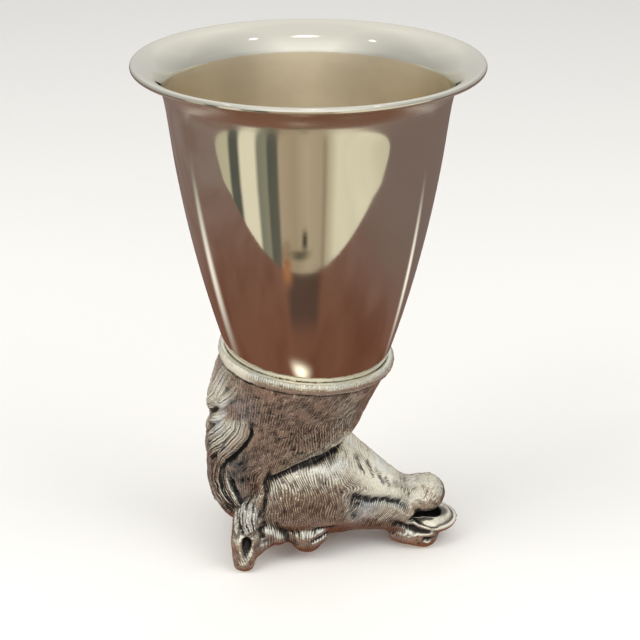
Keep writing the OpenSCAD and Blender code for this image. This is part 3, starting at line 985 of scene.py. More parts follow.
# The same with an amount: where the neck and the face show their strokes
NECK_STROKES = (
    (-15, 48, 6, 6, 0.45), (3, 41, 9, 6, 0.55), (-6, 33, 7, 4, 0.5), (-15, 23, 5, 5, 0.5),
    (14, 52, 5, 6, 0.25),
)
FACE_STROKES = ((0, 19, 10, 6, -0.32), (20, 12, 7, 5, 0.3), (14, 7, 12, 4, 0.25))
# Where the casting's colour is tinted bluish, or red-brown where the amount is below zero, as painted
# reflections of the room and the table
REFLECTION_TINTS = (
    # Mane
    (-18, 51, 5, 5.5, 0.5), (-20.5, 46, 4, 4, 0.4), (-19.6, 46.8, 2.5, 2.5, 0.8), (-22, 43, 4, 5, 0.4),
    (-26, 38, 4, 4, 0.3), (-20, 37, 3, 2, -0.4), (-20, 30, 3, 5, 0.6), (-20.5, 24, 3, 4, 0.4),
    (-14.5, 24, 4, 4, -0.4), (-18.5, 19, 3, 3, 0.35),
    # Neck
    (-12, 58, 9, 3, -0.4), (3, 44, 8, 6, -0.1),
    # Ear
    (-19.8, 6, 1.8, 6, -0.4), (-15.6, 6, 1.2, 5, -0.3), (-17.5, 6, 1.6, 4, 0.5), (-19, 3, 4, 3, -0.4),
    # Cheek and bridge
    (0, 20, 9, 6, -0.45), (5, 10, 7, 2.5, 0.3), (13.4, 14, 2.2, 6, 0.45), (17, 5, 9, 3, 0.4),
    # Muzzle
    (18, 16.5, 5, 2.2, 0.5), (19, 9.5, 6, 2, -0.4), (22.5, 15.6, 5, 1.6, 0.6), (22, 21, 5, 4, 0.25),
    (26.6, 13.8, 2, 1.4, 0.5), (30.4, 3.8, 2, 1.6, -0.2),
    # Chin
    (39.2, 15, 1.2, 4, 0.6), (34, 18, 4, 3, -0.25), (34.5, 16.8, 3, 1.6, -0.4), (34, 14, 4, 1.2, -0.3),
)
# Where the locks are frosted rather than polished
FROSTED_LOCKS = ((-22, 43, 5, 6, 1.0), (-25, 52, 5, 8, 0.9), (-25.5, 36, 3, 4, 0.5))
# Where the casting is brighter, partly rubbed wear and partly painted highlight, or darker where the amount
# is below zero, as painted shade
WEAR_AND_PAINTED_LIGHT = (
    # Mane
    (-26, 52, 4, 8, 0.55), (-18.3, 51, 1.8, 5, 0.18), (-19.6, 46.8, 2.2, 2.2, -0.3), (-22, 43, 4, 5, 0.48),
    (-18.5, 30.5, 2.5, 5, -0.28), (-16, 24, 4, 4, -0.16), (-25, 22, 4, 6, -0.26),
    # Neck
    (10, 48, 9, 9, -0.05), (2, 44, 8, 7, -0.05),
    # Ear and forelock
    (-15.5, 15, 2.5, 3.5, 0.2), (-18, 4.5, 5, 5, -0.24), (-19.9, 12, 1.2, 2.2, 0.3), (-10.5, 11, 3, 3, 0.08),
    # Cheek and bridge
    (0, 20, 9, 5, -0.08), (0, 12, 9, 2.5, 0.17), (5, 10.5, 7, 2, 0.2), (13.6, 13, 1.8, 5, 0.22),
    (18, 6, 7, 3, 0.13),
    # Jaw
    (9.5, 33, 3.5, 2.5, 0.22), (14, 30, 5, 5, 0.2), (20, 26, 8, 6, 0.34), (22, 20, 6, 4, 0.5),
    # Muzzle
    (15.2, 18.6, 3, 3, -0.3), (21, 13.5, 7, 2.4, 0.3), (25.0, 14.3, 1.9, 0.9, 0.4), (20, 9.5, 6, 2, -0.16),
    (26.6, 4.0, 2.4, 1.4, 0.5), (30, 4, 5, 2.5, 0.16), (30.4, 3.8, 1.8, 1.3, -0.1), (34, 4, 2.6, 1.4, -0.5),
    # Chin and lip
    (33, 16, 6, 5, 0.46), (36.2, 15.2, 2.4, 1.2, -0.5), (39.5, 15, 1.1, 4.5, -0.5), (38, 7, 6, 3, 0.2),
)
# Middle of the neck at a few heights, from which its strokes fan out
STROKE_HEIGHTS = (12, 26, 35, 43, 52, 60)
STROKE_MIDDLES = (-17, -11, -8, -6, -3.5, -0.6)
# Radii that turn the strokes' angles into lengths, and starts that keep the combs of the forms apart
NECK_STROKE_RADIUS = 17.0
HEAD_STROKE_RADIUS = 14
HEM_STROKE_RADIUS = 23.6
HEAD_STROKE_PITCH = 0.94
HEAD_COMB_START = 200
HEM_COMB_START = 400
# The beaker's room as seen by the finish: a little wider than it is cut
SEEN_FLOOR = 39.0
SEEN_LEDGE = 46.2
SEEN_BASE = 52.5
SEEN_ROOM_RADIUS = 13.3
SEEN_LEDGE_RADIUS = 15.1
SEEN_WALL_GAP = 0.12
# Middle, half length and half width of the mouth's opening, painted dark as shade and oxide
MOUTH_X = 34.8
MOUTH_HALF_LENGTH = 5.4
MOUTH_HALF_WIDTH = 3.6
# Heights of the chased forms in millimetres
LIP_SHELF = 0.5
LIP_DISH = 0.45
LIP_RIM = 0.35
COAT_LUMPS = 0.16
MUZZLE_LUMPS = 0.22
BARE_LUMPS = 0.32
HEM_NOTCHES = 0.22
HEM_GROOVE = 0.25
NOSTRIL_DEPTH = 1.6
# Brightness of plain metal, the most that rubbing and painted highlight give, and how much hollows and
# strokes change it
PLAIN_LEVEL = 0.58
WEAR_AND_LIGHT_LIMIT = 0.98
INSIDE_LEVEL = 0.3
BROAD_HOLLOW = 0.33
TIGHT_HOLLOW = 3.0
STROKE_WEAR = 0.4
# Passes that find broad and tight hollows
BROAD_PASSES = 40
TIGHT_PASSES = 6


class Skin:
    """A mesh's points in millimetres, with their normals and neighbours."""

    def __init__(self, mesh):
        count = len(mesh.vertices)
        flat = np.empty(count * 3)
        mesh.vertices.foreach_get("co", flat)
        self.points = flat.reshape(-1, 3) / MM
        normals = np.empty(count * 3, np.float32)
        mesh.vertex_normals.foreach_get("vector", normals)
        self.normals = normals.reshape(-1, 3).astype(float)
        edges = np.empty(len(mesh.edges) * 2, np.int32)
        mesh.edges.foreach_get("vertices", edges)
        self.edges = edges.reshape(-1, 2)

    def eased(self, values, passes):
        """Values averaged with their neighbours."""
        first, second = self.edges[:, 0], self.edges[:, 1]
        count = len(self.points)
        share = np.bincount(first, minlength=count) + np.bincount(second, minlength=count)
        share = np.maximum(share, 1)
        for _ in range(passes):
            total = np.bincount(first, values[second], count) + np.bincount(second, values[first], count)
            values = 0.5 * values + 0.5 * total / share
        return values

    def hollows(self, passes):
        """How deep each point lies below its surroundings, in millimetres."""
        moved = [self.eased(self.points[:, k].copy(), passes) for k in range(3)]
        return sum((moved[k] - self.points[:, k]) * self.normals[:, k] for k in range(3))


class Coat(Skin):
    """Where each point of the casting lies on its coat, mane, collar and lips."""

    def __init__(self, mesh, line):
        super().__init__(mesh)
        self.x = self.points[:, 0]
        self.y = np.abs(self.points[:, 1])
        self.z = self.points[:, 2]
        self.up = self.normals[:, 2]
        wall = line.side_radius(np.clip(self.z, 50, 75) * MM, line.half) / MM + SEEN_WALL_GAP
        lower_room = np.where(self.z > SEEN_LEDGE, SEEN_LEDGE_RADIUS, SEEN_ROOM_RADIUS)
        room = np.where(self.z > SEEN_BASE, wall, lower_room)
        self.inside = (self.z > SEEN_FLOOR) & (np.hypot(self.x, self.y) < room)
        self.outside = 1.0 - self.inside
        self.aside = np.abs(self.normals[:, 1])
        self.sideways = smooth_step(0.08, 0.42, self.aside)
        self.place_collar()
        self.place_hairs()
        self.place_strokes()
        self.place_lips()
        self.place_shade()
        self.locks, self.lock_across, self.lock_along, self.lock_light_and_shade = lock_relief(self.x, self.z)
        self.lock_cover = smooth_step(0.1, 0.5, self.locks)
        self.bare_skin = self.spot(*CHIN) + self.spot(*NOSE)

    def spot(self, middle_x, middle_z, width, height):
        """A soft spot in the side view."""
        return np.exp(-((self.x - middle_x) / width) ** 2 - ((self.z - middle_z) / height) ** 2)

    def spots(self, rows):
        """The sum of soft spots, each times its amount."""
        return sum(amount * self.spot(*place) for *place, amount in rows)

    def place_collar(self):
        """Depth under the collar's edge, its rolled hem and the groove below that."""
        drop = COLLAR_Z - math.tan(COLLAR_TILT) * (self.x - COLLAR_X) - self.z
        self.collar_drop = drop
        self.hem = smooth_step(0.0, 0.4, drop) * smooth_step(3.7, 3.1, drop) * self.outside
        self.hem_across = np.arctan2(self.y, self.x) * HEM_STROKE_RADIUS + HEM_COMB_START
        self.under_hem = np.exp(-((drop - 3.5) / 0.5) ** 2) * self.outside

    def place_hairs(self):
        """Coordinates across and along the hairs, with the slants that the coat shows."""
        x, y, z = self.x, self.y, self.z
        fold_z = np.interp(x, [p[0] for p in FOLD], [p[1] for p in FOLD])
        self.head = smooth_step(-1.2, 1.2, np.minimum((fold_z - z), (x + 12.4) * 1.5))
        angle = np.arctan2(y, x - np.interp(z, STROKE_HEIGHTS, STROKE_MIDDLES))
        slant = 0.45 * smooth_step(50, 44, z) * smooth_step(-8, 0, x)
        slant += 0.45 * smooth_step(32, 26, z) * smooth_step(-12, -16, x)
        neck_across = angle * NECK_STROKE_RADIUS - slant * (z - np.where(z > 35, 43, 22))
        head_along = 17 + HEAD_STROKE_RADIUS * np.arctan2(z - 17.0, y + 0.5)
        lean = 0.3 * smooth_step(19, 30, z)
        lean = lean - 0.55 * smooth_step(7, 11, x) * smooth_step(25, 21, z)
        lean = lean + 0.15 * smooth_step(-4, -9, x)
        wave = 0.4 * np.sin(head_along * 0.8 + x * 0.35)
        head_across = (x + lean * (head_along - 19) + wave) * HEAD_STROKE_PITCH + HEAD_COMB_START
        self.across = np.where(self.head > 0.5, head_across, neck_across)
        self.along = np.where(self.head > 0.5, head_along, z)

    def place_strokes(self):
        """Where the casting has hair at all, and how strongly its strokes show."""
        chin = smooth_step(11.5, 13.5, self.z) * smooth_step(39, 36, self.x)
        bare = smooth_step(27.5, 30.5, self.x) * (1 - 0.6 * chin)
        bare = np.maximum(bare, smooth_step(3.4, 2.6, self.collar_drop))
        self.hair = 1 - np.maximum(bare, self.inside * 1.0)
        neck = np.minimum(0.22 + self.spots(NECK_STROKES), 0.9) * 0.85
        self.strokes = np.where(self.head > 0.5, 0.72 + self.spots(FACE_STROKES), neck)

    def place_lips(self):
        """The dish, rim, panel and tray of the open lip."""
        (middle, _, _), (half_length, half_width, _) = LIP
        across = np.hypot((self.x - middle) / half_length, self.y / half_width)
        top = smooth_step(28.5, 30.5, self.x) * smooth_step(4.4, 5.4, self.z) * smooth_step(9.6, 9.0, self.z)
        self.lip_top = top * smooth_step(-0.1, 0.3, self.up)
        self.lip_dish = np.exp(-((across - 0.86) / 0.08) ** 2) * self.lip_top
        self.lip_rim = np.exp(-((across - 0.98) / 0.045) ** 2) * self.lip_top
        self.lip_panel = np.exp(-((self.x - 34.6) / 2.2) ** 4) * self.lip_top
        self.lip_shelf = np.exp(-((across - 0.58) / 0.16) ** 2) * self.lip_panel
        self.lip_tray = smooth_step(0.42, 0.52, across) * smooth_step(0.92, 0.84, across)

    def place_shade(self):
        """Masks for the painted shade, with dark oxide, in the open mouth, for the painted shade under the
        chin, and for what looks down at the table.
        """
        x, y, z = self.x, self.y, self.z
        pit = np.hypot((x - MOUTH_X) / MOUTH_HALF_LENGTH, y / MOUTH_HALF_WIDTH)
        gap = smooth_step(1.12, 0.92, pit) * smooth_step(8.4, 7.4, z)
        gap = np.maximum(gap, smooth_step(31.0, 29.0, x) * smooth_step(5.8, 5.0, y))
        gap *= smooth_step(4.4, 5.0, z) * smooth_step(12.0, 11.2, z) * smooth_step(22, 24, x)
        gap *= smooth_step(8.6, 7.6, y)
        self.mouth = gap * smooth_step(0.9, 0.2, np.abs(self.up) * (z > 9.5))
        self.chin_underside_shade = smooth_step(0.05, -0.35, self.up) * smooth_step(28.5, 30, x)
        under = smooth_step(-0.05, -0.6, self.up) * smooth_step(16, 10, z) * self.outside
        self.under = under * (1 - 0.9 * self.spot(15, 5, 9, 6) - 0.35 * self.spot(30, 4, 5, 3))

    def tuft_ridges(self, sizes):
        """Tufts of the coat, 0 between them and 1 on their ridges, fainter on the jaw and the eye."""
        width, length = sizes.tuft_width / MM, sizes.tuft_length / MM
        coarse = tufts(self.across, self.along, width, length, 3)
        small = tufts(self.across + 7.3, self.along, width * 0.72, length * 0.7, 11)
        ridges = np.maximum(coarse, 0.8 * small) * self.hair * (1 - 0.85 * self.lock_cover)
        return ridges * (1 - 0.6 * self.spot(*JAW)) * (1 - 0.6 * self.spot(*EYE))


def relief_height(coat, ridges, sizes):
    """How far the chasing moves each point outwards, in millimetres."""
    grooves = line_relief(coat.x, coat.z, GROOVES, -1) + line_relief(coat.x, coat.z, RIDGES, 1)
    gaps = line_relief(coat.x, coat.z, LOCK_GAPS, -1)
    crest = np.maximum(smooth_step(0.0, 0.3, coat.aside), smooth_step(-10, -16, coat.x))
    height = coat.sideways * grooves + crest * (gaps + coat.locks)
    height += LIP_SHELF * coat.lip_shelf - LIP_DISH * coat.lip_dish + LIP_RIM * coat.lip_rim
    tuft = sizes.tuft_height / MM * (ridges - 0.4 * coat.hair)
    height += tuft * (0.4 + 0.6 * coat.strokes) * (1 - 0.3 * coat.head)
    height += COAT_LUMPS * lumps(coat.points, 2.6, 1.0) * coat.hair
    height += MUZZLE_LUMPS * lumps(coat.points, 1.3, 4.0) * coat.spot(*MUZZLE)
    height += BARE_LUMPS * lumps(coat.points, 1.2, 2.0) * coat.bare_skin
    notches = tufts(coat.hem_across, coat.collar_drop, 1.6, 3.8, 29)
    height += HEM_NOTCHES * coat.hem * notches - HEM_GROOVE * coat.under_hem
    height -= NOSTRIL_DEPTH * coat.spot(*NOSTRIL) * coat.sideways
    height *= coat.outside
    # Less stands out close to the table
    floor_room = np.maximum(smooth_step(0.0, 1.2, coat.z), 0.15)
    return np.where(height < 0, height, height * floor_room)


def painted_light_and_wear(coat, ridges, chased):
    """How bright each point is: dark oxide in the hollows of the chased skin, rubbed bright on its ridges,
    with painted highlight and shade in spots, along lines, on the locks, in the mouth and under the chin.
    """
    broad = np.clip(chased.hollows(BROAD_PASSES), -1, 1.7)
    tight = np.clip(chased.hollows(TIGHT_PASSES), -0.12, 0.18)
    light_and_wear = PLAIN_LEVEL - BROAD_HOLLOW * broad - TIGHT_HOLLOW * tight
    light_and_wear += STROKE_WEAR * coat.strokes * (ridges - 0.45 * coat.hair) * (1 - 0.5 * coat.head)
    # Rubbed wear and painted highlight, and painted shade where the spots are below zero
    light_and_wear = np.minimum(light_and_wear + coat.spots(WEAR_AND_PAINTED_LIGHT), WEAR_AND_LIGHT_LIMIT)
    # Painted shade along the fold and creases, painted highlight along ridges
    light_and_wear += coat.sideways * painted_shade_and_highlight(coat.x, coat.z)
    light_and_wear += coat.hem * (0.6 - 0.36 * smooth_step(-20, -12, coat.x))
    # Painted highlight on the locks' crests, painted shade at their tips and edges
    lock_tip_shade = smooth_step(11, 20, coat.lock_along)
    light_and_wear += coat.lock_cover * (0.2 - 0.42 * lock_tip_shade + 0.55 * (coat.lock_light_and_shade - 0.65))
    light_and_wear += 0.1 * coat.lip_rim
    light_and_wear += coat.lip_tray * (0.7 * coat.lip_panel - 0.25 * (coat.lip_top - coat.lip_panel))
    # Painted shade under the chin
    light_and_wear -= 0.7 * coat.chin_underside_shade * smooth_step(9, 10, coat.z) * smooth_step(15, 14, coat.z)
    light_and_wear += 0.24 * coat.under * (1 - coat.chin_underside_shade)
    # Painted shade, with oxide, inside the open mouth
    return np.where(coat.inside, INSIDE_LEVEL, light_and_wear * (1 - coat.mouth))


def stroke_contrast(coat):
    """How strongly the finish's fine strokes show."""
    contrast = coat.hair * coat.strokes * (1 - 0.3 * coat.spot(*JAW)) * (1 - 0.25 * coat.spot(*EYE))
    contrast *= 1 - 0.35 * coat.head * smooth_step(24, 28, coat.z)
    contrast = np.maximum(contrast, 0.7 * coat.hem)
    return contrast * (1 - coat.lock_cover) + 0.95 * coat.lock_cover


def stroke_places(coat):
    """Coordinates of the finish's strokes: those of the coat, the locks or the hem."""
    on_lock, on_hem = coat.lock_cover > 0.3, coat.hem > 0.3
    across = np.where(on_hem, coat.hem_across, np.where(on_lock, coat.lock_across, coat.across))
    along = np.where(on_hem, coat.collar_drop, np.where(on_lock, coat.lock_along, coat.along))
    return np.stack([across, along, np.zeros_like(across)], -1)


def chase_head(mesh, line, sizes):
    """Chases the relief into the skin and stores what the finish needs."""
    coat = Coat(mesh, line)
    ridges = coat.tuft_ridges(sizes)
    moved = coat.points + coat.normals * relief_height(coat, ridges, sizes)[:, None]
    moved[:, 2] = np.maximum(moved[:, 2], 0.0)
    mesh.vertices.foreach_set("co", (moved * MM).ravel())
    mesh.update()
    layer = mesh.attributes.new("stroke", "FLOAT_VECTOR", "POINT")
    layer.data.foreach_set("vector", stroke_places(coat).astype(np.float32).ravel())
    rough_skin = coat.hair * (0.7 - 0.4 * coat.head) * (1 - 0.6 * coat.lock_cover)
    frosted_hem = 0.9 * coat.hem * smooth_step(-12, -18, coat.x)
    layers = {
        "light_and_wear": painted_light_and_wear(coat, ridges, Skin(mesh)),
        "coat": stroke_contrast(coat),
        "speckle": 0.3 + rough_skin + 0.7 * coat.bare_skin,
        "cold": 0.4 + coat.spots(REFLECTION_TINTS),
        "matt": coat.lock_cover * coat.spots(FROSTED_LOCKS) + coat.spot(*FROSTED_JAW) + frosted_hem,
        "mirror": coat.under,
    }
    for name, values in layers.items():
        layer = mesh.attributes.new(name, "FLOAT", "POINT")
        layer.data.foreach_set("value", np.clip(values, 0, 1).astype(np.float32))


class BuildHead(bpy.types.Operator):
    """Join, hollow and chase the cast horse head"""
    bl_idname = "stirrup_cup.head"
    bl_label = "Horse head"

    def execute(self, context):
        line = BeakerLine(context.scene.cup_beaker)
        sizes = context.scene.cup_head
        mesh = head_skin(line, sizes)
        chase_head(mesh, line, sizes)
        mesh.materials.clear()
        mesh.materials.append(oxidised_silver(context.scene.cup_finish))
        mesh.shade_smooth()
        piece = bpy.data.objects.new("chased_head", mesh)
        context.scene.collection.objects.link(piece)
        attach(piece, BODY)
        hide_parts("head_casting")
        return {"FINISHED"}


class FinishFixing(bpy.types.Operator):
    """Give the hidden stud, washer and plate their metals and fibre"""
    bl_idname = "stirrup_cup.fixing"
    bl_label = "Hidden fixing"

    def execute(self, context):
        finish = context.scene.cup_finish
        looks = {
            "threaded_stud": turned_metal("turned_steel", finish.steel, 0.3),
            "seat_washer": pressed_fibre(finish.fibre),
            "fixing_plate": turned_metal("turned_brass", finish.brass, 0.28),
        }
        for name, material in looks.items():
            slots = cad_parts[name].data.materials
            slots.clear()
            slots.append(material)
        return {"FINISHED"}


def lay_card(name, bm, place, material):
    """Moves a flat bmesh to its place and makes it a card of the stage."""
    bmesh.ops.translate(bm, vec=place, verts=bm.verts[:])
    card = new_piece(name, bm, [material])
    return card


def stage_card(name, size, place, material, turn=0.0):
    """A flat oblong card, lying level."""
    bm = bmesh.new()
    bm.loops.layers.uv.new("UVMap")
    bmesh.ops.create_grid(bm, x_segments=1, y_segments=1, size=0.5, calc_uvs=True)
    bmesh.ops.scale(bm, vec=(size[0], size[1], 1), verts=bm.verts[:])
    bmesh.ops.rotate(bm, cent=(0, 0, 0), matrix=Matrix.Rotation(turn, 3, "Z"), verts=bm.verts[:])
    return lay_card(name, bm, place, material)


def round_card(name, radius, place, material):
    """A flat round card, lying level."""
    bm = bmesh.new()
    bmesh.ops.create_circle(bm, cap_ends=True, segments=160, radius=radius)
    return lay_card(name, bm, place, material)


def mirror_only(card):
    """Lets only reflections see a card."""
    for ray in ("camera", "diffuse", "shadow", "transmission", "volume_scatter"):
        setattr(card, "visible_" + ray, False)


def pale_floor(colour):
    """A plain matte floor."""
    sheet = finish_sheet("pale_floor")
    sheet.set("Base Color", shade(colour))
    sheet.set("Roughness", 0.8)
    return sheet.owner


def glow_only(sheet, tone):
    """A material that gives off its tone and takes no other light."""
    sheet.set("Base Color", (0, 0, 0, 1))
    sheet.set("Roughness", 1.0)
    sheet.set("Specular IOR Level", 0.0)
    sheet.set("Emission Color", tone)
    sheet.set("Emission Strength", 1.0)
    return sheet.owner


def azimuth_of(sheet, place):
    """Angle of a place on the floor round the cup's axis, 0 towards the camera, as a share of a half turn."""
    split = sheet.add("SeparateXYZ", {0: place})
    away = sheet.times(split.outputs["Y"], -1.0)
    return sheet.math("DIVIDE", sheet.math("ARCTAN2", split.outputs["X"], away), math.pi)


def table_glow(colour):
    """The table top that the metal reflects: red-brown near the cup, greyer far off, with a dim column."""
    sheet = finish_sheet("table_brown")
    place = sheet.place()
    reach = sheet.add("VectorMath", {0: place}, operation="LENGTH").outputs["Value"]
    turn = azimuth_of(sheet, place)
    grey = (colour[0] + 0.045, colour[1] + 0.1, colour[2] + 0.115, 1.0)
    tone = sheet.mix(sheet.remap(reach, 0.07, 0.28), shade(colour), grey)
    streak = sheet.noise(sheet.stretch(place, (22.0, 5.0, 1.0)), 1.0, 2.0)
    tone = sheet.mix(sheet.remap(streak, 0.35, 0.7, 0.0, 0.4), tone, shade(colour, 0.75))
    cloud = sheet.remap(sheet.noise(place, 16.0, 2.0), 0.42, 0.66, 0.0, 0.5)
    cloud = sheet.times(cloud, sheet.remap(reach, 0.1, 0.2, 1.0, 0.0))
    tone = sheet.mix(cloud, tone, shade(TABLE_CLOUD))
    right = sheet.times(sheet.remap(turn, 0.06, 0.45), sheet.remap(reach, 0.07, 0.2))
    tone = sheet.mix(right, tone, shade(TABLE_RIGHT))
    off = sheet.math("ABSOLUTE", sheet.plus(turn, 0.025))
    column = sheet.times(sheet.remap(off, 0.06, 0.11, 0.8, 0.0), sheet.remap(reach, 0.076, 0.098))
    return glow_only(sheet, sheet.mix(column, tone, shade(TABLE_COLUMN)))


def room_glow(cream):
    """The pale room beyond the table's edge, with dark uprights and a tan middle."""
    sheet = finish_sheet("room_cream")
    place = sheet.place()
    stops = (
        (0.0, ROOM_SIDE), (0.04, ROOM_SIDE), (0.07, (0.5, 0.46, 0.33)), (0.13, (0.52, 0.48, 0.35)),
        (0.143, ROOM_DARK), (0.181, ROOM_DARK), (0.196, ROOM_PALE), (0.262, ROOM_PALE),
        (0.278, (0.22, 0.22, 0.17)), (0.315, (0.26, 0.25, 0.19)), (0.325, ROOM_DARK), (0.362, ROOM_DARK),
        (0.376, ROOM_TAN), (0.44, (0.4, 0.31, 0.21)), (0.5, (0.52, 0.42, 0.3)), (0.556, ROOM_TAN),
        (0.572, (0.3, 0.235, 0.165)), (0.588, (0.54, 0.46, 0.34)), (0.63, cream), (0.93, shade(cream, 0.95)),
        (0.96, ROOM_SIDE), (1.0, ROOM_SIDE),
    )
    tone = sheet.ramp(sheet.plus(azimuth_of(sheet, place), 0.5), stops)
    cloud = sheet.noise(sheet.stretch(place, (3.0, 1.2, 1.0)), 2.0, 3.0)
    return glow_only(sheet, sheet.mix(sheet.remap(cloud, 0.4, 0.75, 0.0, 0.35), tone, shade(ROOM_CLOUD)))


def strip_glow(name, colour, strength, rounded=False):
    """A soft-edged glow that fades away from the cup, oblong or rounded."""
    sheet = finish_sheet(name)
    card = sheet.add("UVMap").outputs["UV"]
    split = sheet.add("SeparateXYZ", {0: card})
    if rounded:
        away = sheet.add("VectorMath", {0: card, 1: (0.5, 0.5, 0.0)}, operation="DISTANCE").outputs["Value"]
        soft = sheet.remap(away, 0.0, 0.5, 1.0, 0.0)
        soft = sheet.times(soft, soft)
    else:
        aside = sheet.math("ABSOLUTE", sheet.minus(split.outputs["X"], 0.5))
        ahead = sheet.math("ABSOLUTE", sheet.minus(split.outputs["Y"], 0.5))
        soft = sheet.times(sheet.remap(aside, 0.0, 0.5, 1.0, 0.0), sheet.remap(ahead, 0.08, 0.5, 1.0, 0.0))
    fade = sheet.remap(split.outputs["Y"], 0.1, 0.8, 0.25 * strength, strength)
    clear = sheet.add("BsdfTransparent")
    glow = sheet.add("Emission", {"Color": shade(colour), "Strength": fade})
    blend = sheet.add("MixShader", {0: soft, 1: clear.outputs[0], 2: glow.outputs[0]})
    sheet.feed(sheet.tree.nodes["Material Output"].inputs["Surface"], blend.outputs[0])
    return sheet.owner


def soft_room():
    """A pale room, brightest half way up, dimmer behind the cup and on both sides."""
    sheet = NodeSheet(bpy.data.worlds.new("soft_room"), "Background")
    split = sheet.add("SeparateXYZ", {0: sheet.add("TexCoord").outputs["Generated"]})
    stops = [(height, (level, level * 0.99, level * 0.97)) for height, level in DOME]
    sheet.set("Color", sheet.ramp(split.outputs["Z"], stops))
    behind = sheet.remap(split.outputs["Y"], 0.45, 0.9, 1.0, 0.72, easing="LINEAR")
    aside = sheet.math("ABSOLUTE", split.outputs["X"])
    flank = sheet.remap(aside, 0.3, 0.85, 1.04, 0.52, easing="LINEAR")
    sheet.set("Strength", sheet.times(behind, flank))
    return sheet.owner


def area_lamp(name, place, aim, power):
    """A square soft light pointed at a place, which reflections don't see."""
    data = bpy.data.lights.new(name, "AREA")
    data.size = LAMP_SIZE
    data.energy = power
    data.color = LAMP_COLOUR
    lamp = bpy.data.objects.new(name, data)
    lamp.location = place
    lamp.rotation_euler = (Vector(aim) - Vector(place)).to_track_quat("-Z", "Y").to_euler()
    lamp.visible_glossy = False
    bpy.context.scene.collection.objects.link(lamp)


def photo_camera():
    """The camera that sees the cup as the photograph does."""
    data = bpy.data.cameras.new("photo_view")
    data.sensor_width = 36
    data.lens = 80.1
    data.shift_x = 0.0183
    camera = bpy.data.objects.new("photo_view", data)
    camera.location = (0, -0.3539, 0.2327)
    camera.rotation_euler = (math.radians(65.21), 0, 0)
    bpy.context.scene.collection.objects.link(camera)
    return camera


# Tones of the table and the room that the metal reflects
TABLE_CLOUD = (0.12, 0.035, 0.02)
TABLE_RIGHT = (0.2, 0.145, 0.13)
TABLE_COLUMN = (0.075, 0.05, 0.042)
ROOM_DARK = (0.1, 0.1, 0.085)
ROOM_PALE = (0.8, 0.735, 0.585)
ROOM_TAN = (0.46, 0.36, 0.26)
ROOM_SIDE = (0.2, 0.155, 0.14)
ROOM_CLOUD = (0.3, 0.27, 0.19)
# Heights of the cards over the floor, so that none lies in another
ROOM_LIFT = 0.0002
TABLE_LIFT = 0.0004
GLINT_LIFT = 0.0006
# Lights and shapes on the table that the metal reflects: size, place, turn, colour, strength, rounded
GLINTS = {
    "left_glint": ((0.045, 0.25), (-0.172, 0.073), -110, (1.0, 0.95, 0.88), 1.2, False),
    "right_glint": ((0.034, 0.21), (0.155, 0.093), 102, (1.0, 0.95, 0.88), 1.4, False),
    "low_glint": ((0.05, 0.019), (-0.0107, -0.0600), 0, (1.0, 0.9, 0.74), 2.5, True),
    "orange_glint": ((0.034, 0.05), (-0.0445, -0.126), -20, (0.52, 0.23, 0.11), 0.9, False),
    "dark_wedge": ((0.022, 0.03), (-0.008, -0.153), 0, (0.06, 0.058, 0.045), 1.0, False),
    "dark_sill": ((0.07, 0.012), (-0.018, -0.1385), -8, (0.07, 0.06, 0.045), 1.0, False),
}
# Lights overhead that the metal reflects: size, place
CEILING_LIGHTS = {
    "ceiling_light_0": ((0.22, 0.07), (0.02, -0.25, 0.85)),
    "ceiling_light_1": ((0.07, 0.07), (-0.42, -0.1, 0.8)),
    "ceiling_light_2": ((0.07, 0.07), (0.34, -0.12, 0.8)),
}
CEILING_STRENGTH = 7.0
# Light of the room at heights from the horizon to overhead
DOME = ((0.0, 0.78), (0.3, 0.88), (0.5, 0.98), (0.75, 0.9), (0.95, 0.75))
# Lamps: place, aim, share of the key power
LAMPS = {
    "key_light": ((-0.5, -0.22, 0.55), (0, 0, 0.05), 1.0),
    "fill_light": ((0.5, -0.2, 0.5), (0.02, 0, 0.03), 0.75),
}
LAMP_SIZE = 0.5
LAMP_COLOUR = (1.0, 0.97, 0.92)


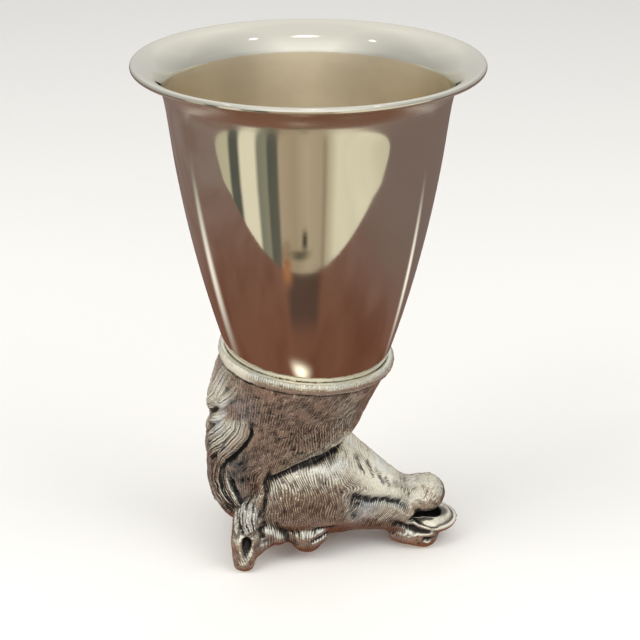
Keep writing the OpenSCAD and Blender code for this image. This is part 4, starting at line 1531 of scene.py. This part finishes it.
class SetStage(bpy.types.Operator):
    """Set the pale floor, the reflected table, the lights and the camera"""
    bl_idname = "stirrup_cup.stage"
    bl_label = "Stage"

    def execute(self, context):
        scene = context.scene
        look = scene.cup_stage
        stage_card("floor", (8, 8), (0, 0, 0), pale_floor(look.floor))
        mirror_only(round_card("room_reflection", 2.3, (0, 0.2, ROOM_LIFT), room_glow(look.window)))
        mirror_only(round_card("table_reflection", 0.72, (0.052, 0.593, TABLE_LIFT), table_glow(look.table)))
        for name, (size, place, angle, colour, strength, rounded) in GLINTS.items():
            glow = strip_glow(name, colour, strength, rounded)
            mirror_only(stage_card(name, size, (*place, GLINT_LIFT), glow, math.radians(angle)))
        for name, (size, place) in CEILING_LIGHTS.items():
            mirror_only(stage_card(name, size, place, strip_glow(name, LAMP_COLOUR, CEILING_STRENGTH)))
        for name, (place, aim, share) in LAMPS.items():
            area_lamp(name, place, aim, share * look.key_power)
        scene.world = soft_room()
        scene.camera = photo_camera()
        scene.view_settings.view_transform = "Standard"
        return {"FINISHED"}


class CupPanel(bpy.types.Panel):
    """Lists the cup's pieces, sizes and finishes"""
    bl_idname = "VIEW3D_PT_stirrup_cup"
    bl_label = "Stirrup cup"
    bl_space_type = "VIEW_3D"
    bl_region_type = "UI"
    bl_category = "Stirrup cup"

    def draw(self, context):
        for operator in OPERATORS:
            self.layout.operator(operator.bl_idname)
        for group in GROUPS:
            settings = getattr(context.scene, group)
            box = self.layout.box()
            for key in settings.bl_rna.properties.keys():
                if key not in ("rna_type", "name"):
                    box.prop(settings, key)


GROUPS = {
    "cup_beaker": BeakerSizes,
    "cup_head": HeadSizes,
    "cup_finish": CupFinish,
    "cup_stage": StageLook,
}
OPERATORS = (SetStage, BuildBeaker, BuildHead, FinishFixing)


def register():
    for group in GROUPS.values():
        bpy.utils.register_class(group)
    for name, group in GROUPS.items():
        setattr(bpy.types.Scene, name, bpy.props.PointerProperty(type=group))
    for operator in OPERATORS:
        bpy.utils.register_class(operator)
    bpy.utils.register_class(CupPanel)


def unregister():
    bpy.utils.unregister_class(CupPanel)
    for operator in reversed(OPERATORS):
        bpy.utils.unregister_class(operator)
    for name, group in reversed(GROUPS.items()):
        delattr(bpy.types.Scene, name)
        bpy.utils.unregister_class(group)


def main():
    register()
    bpy.ops.stirrup_cup.stage()
    bpy.ops.stirrup_cup.beaker()
    bpy.ops.stirrup_cup.head()
    bpy.ops.stirrup_cup.fixing()


if __name__ == "__main__":
    main()
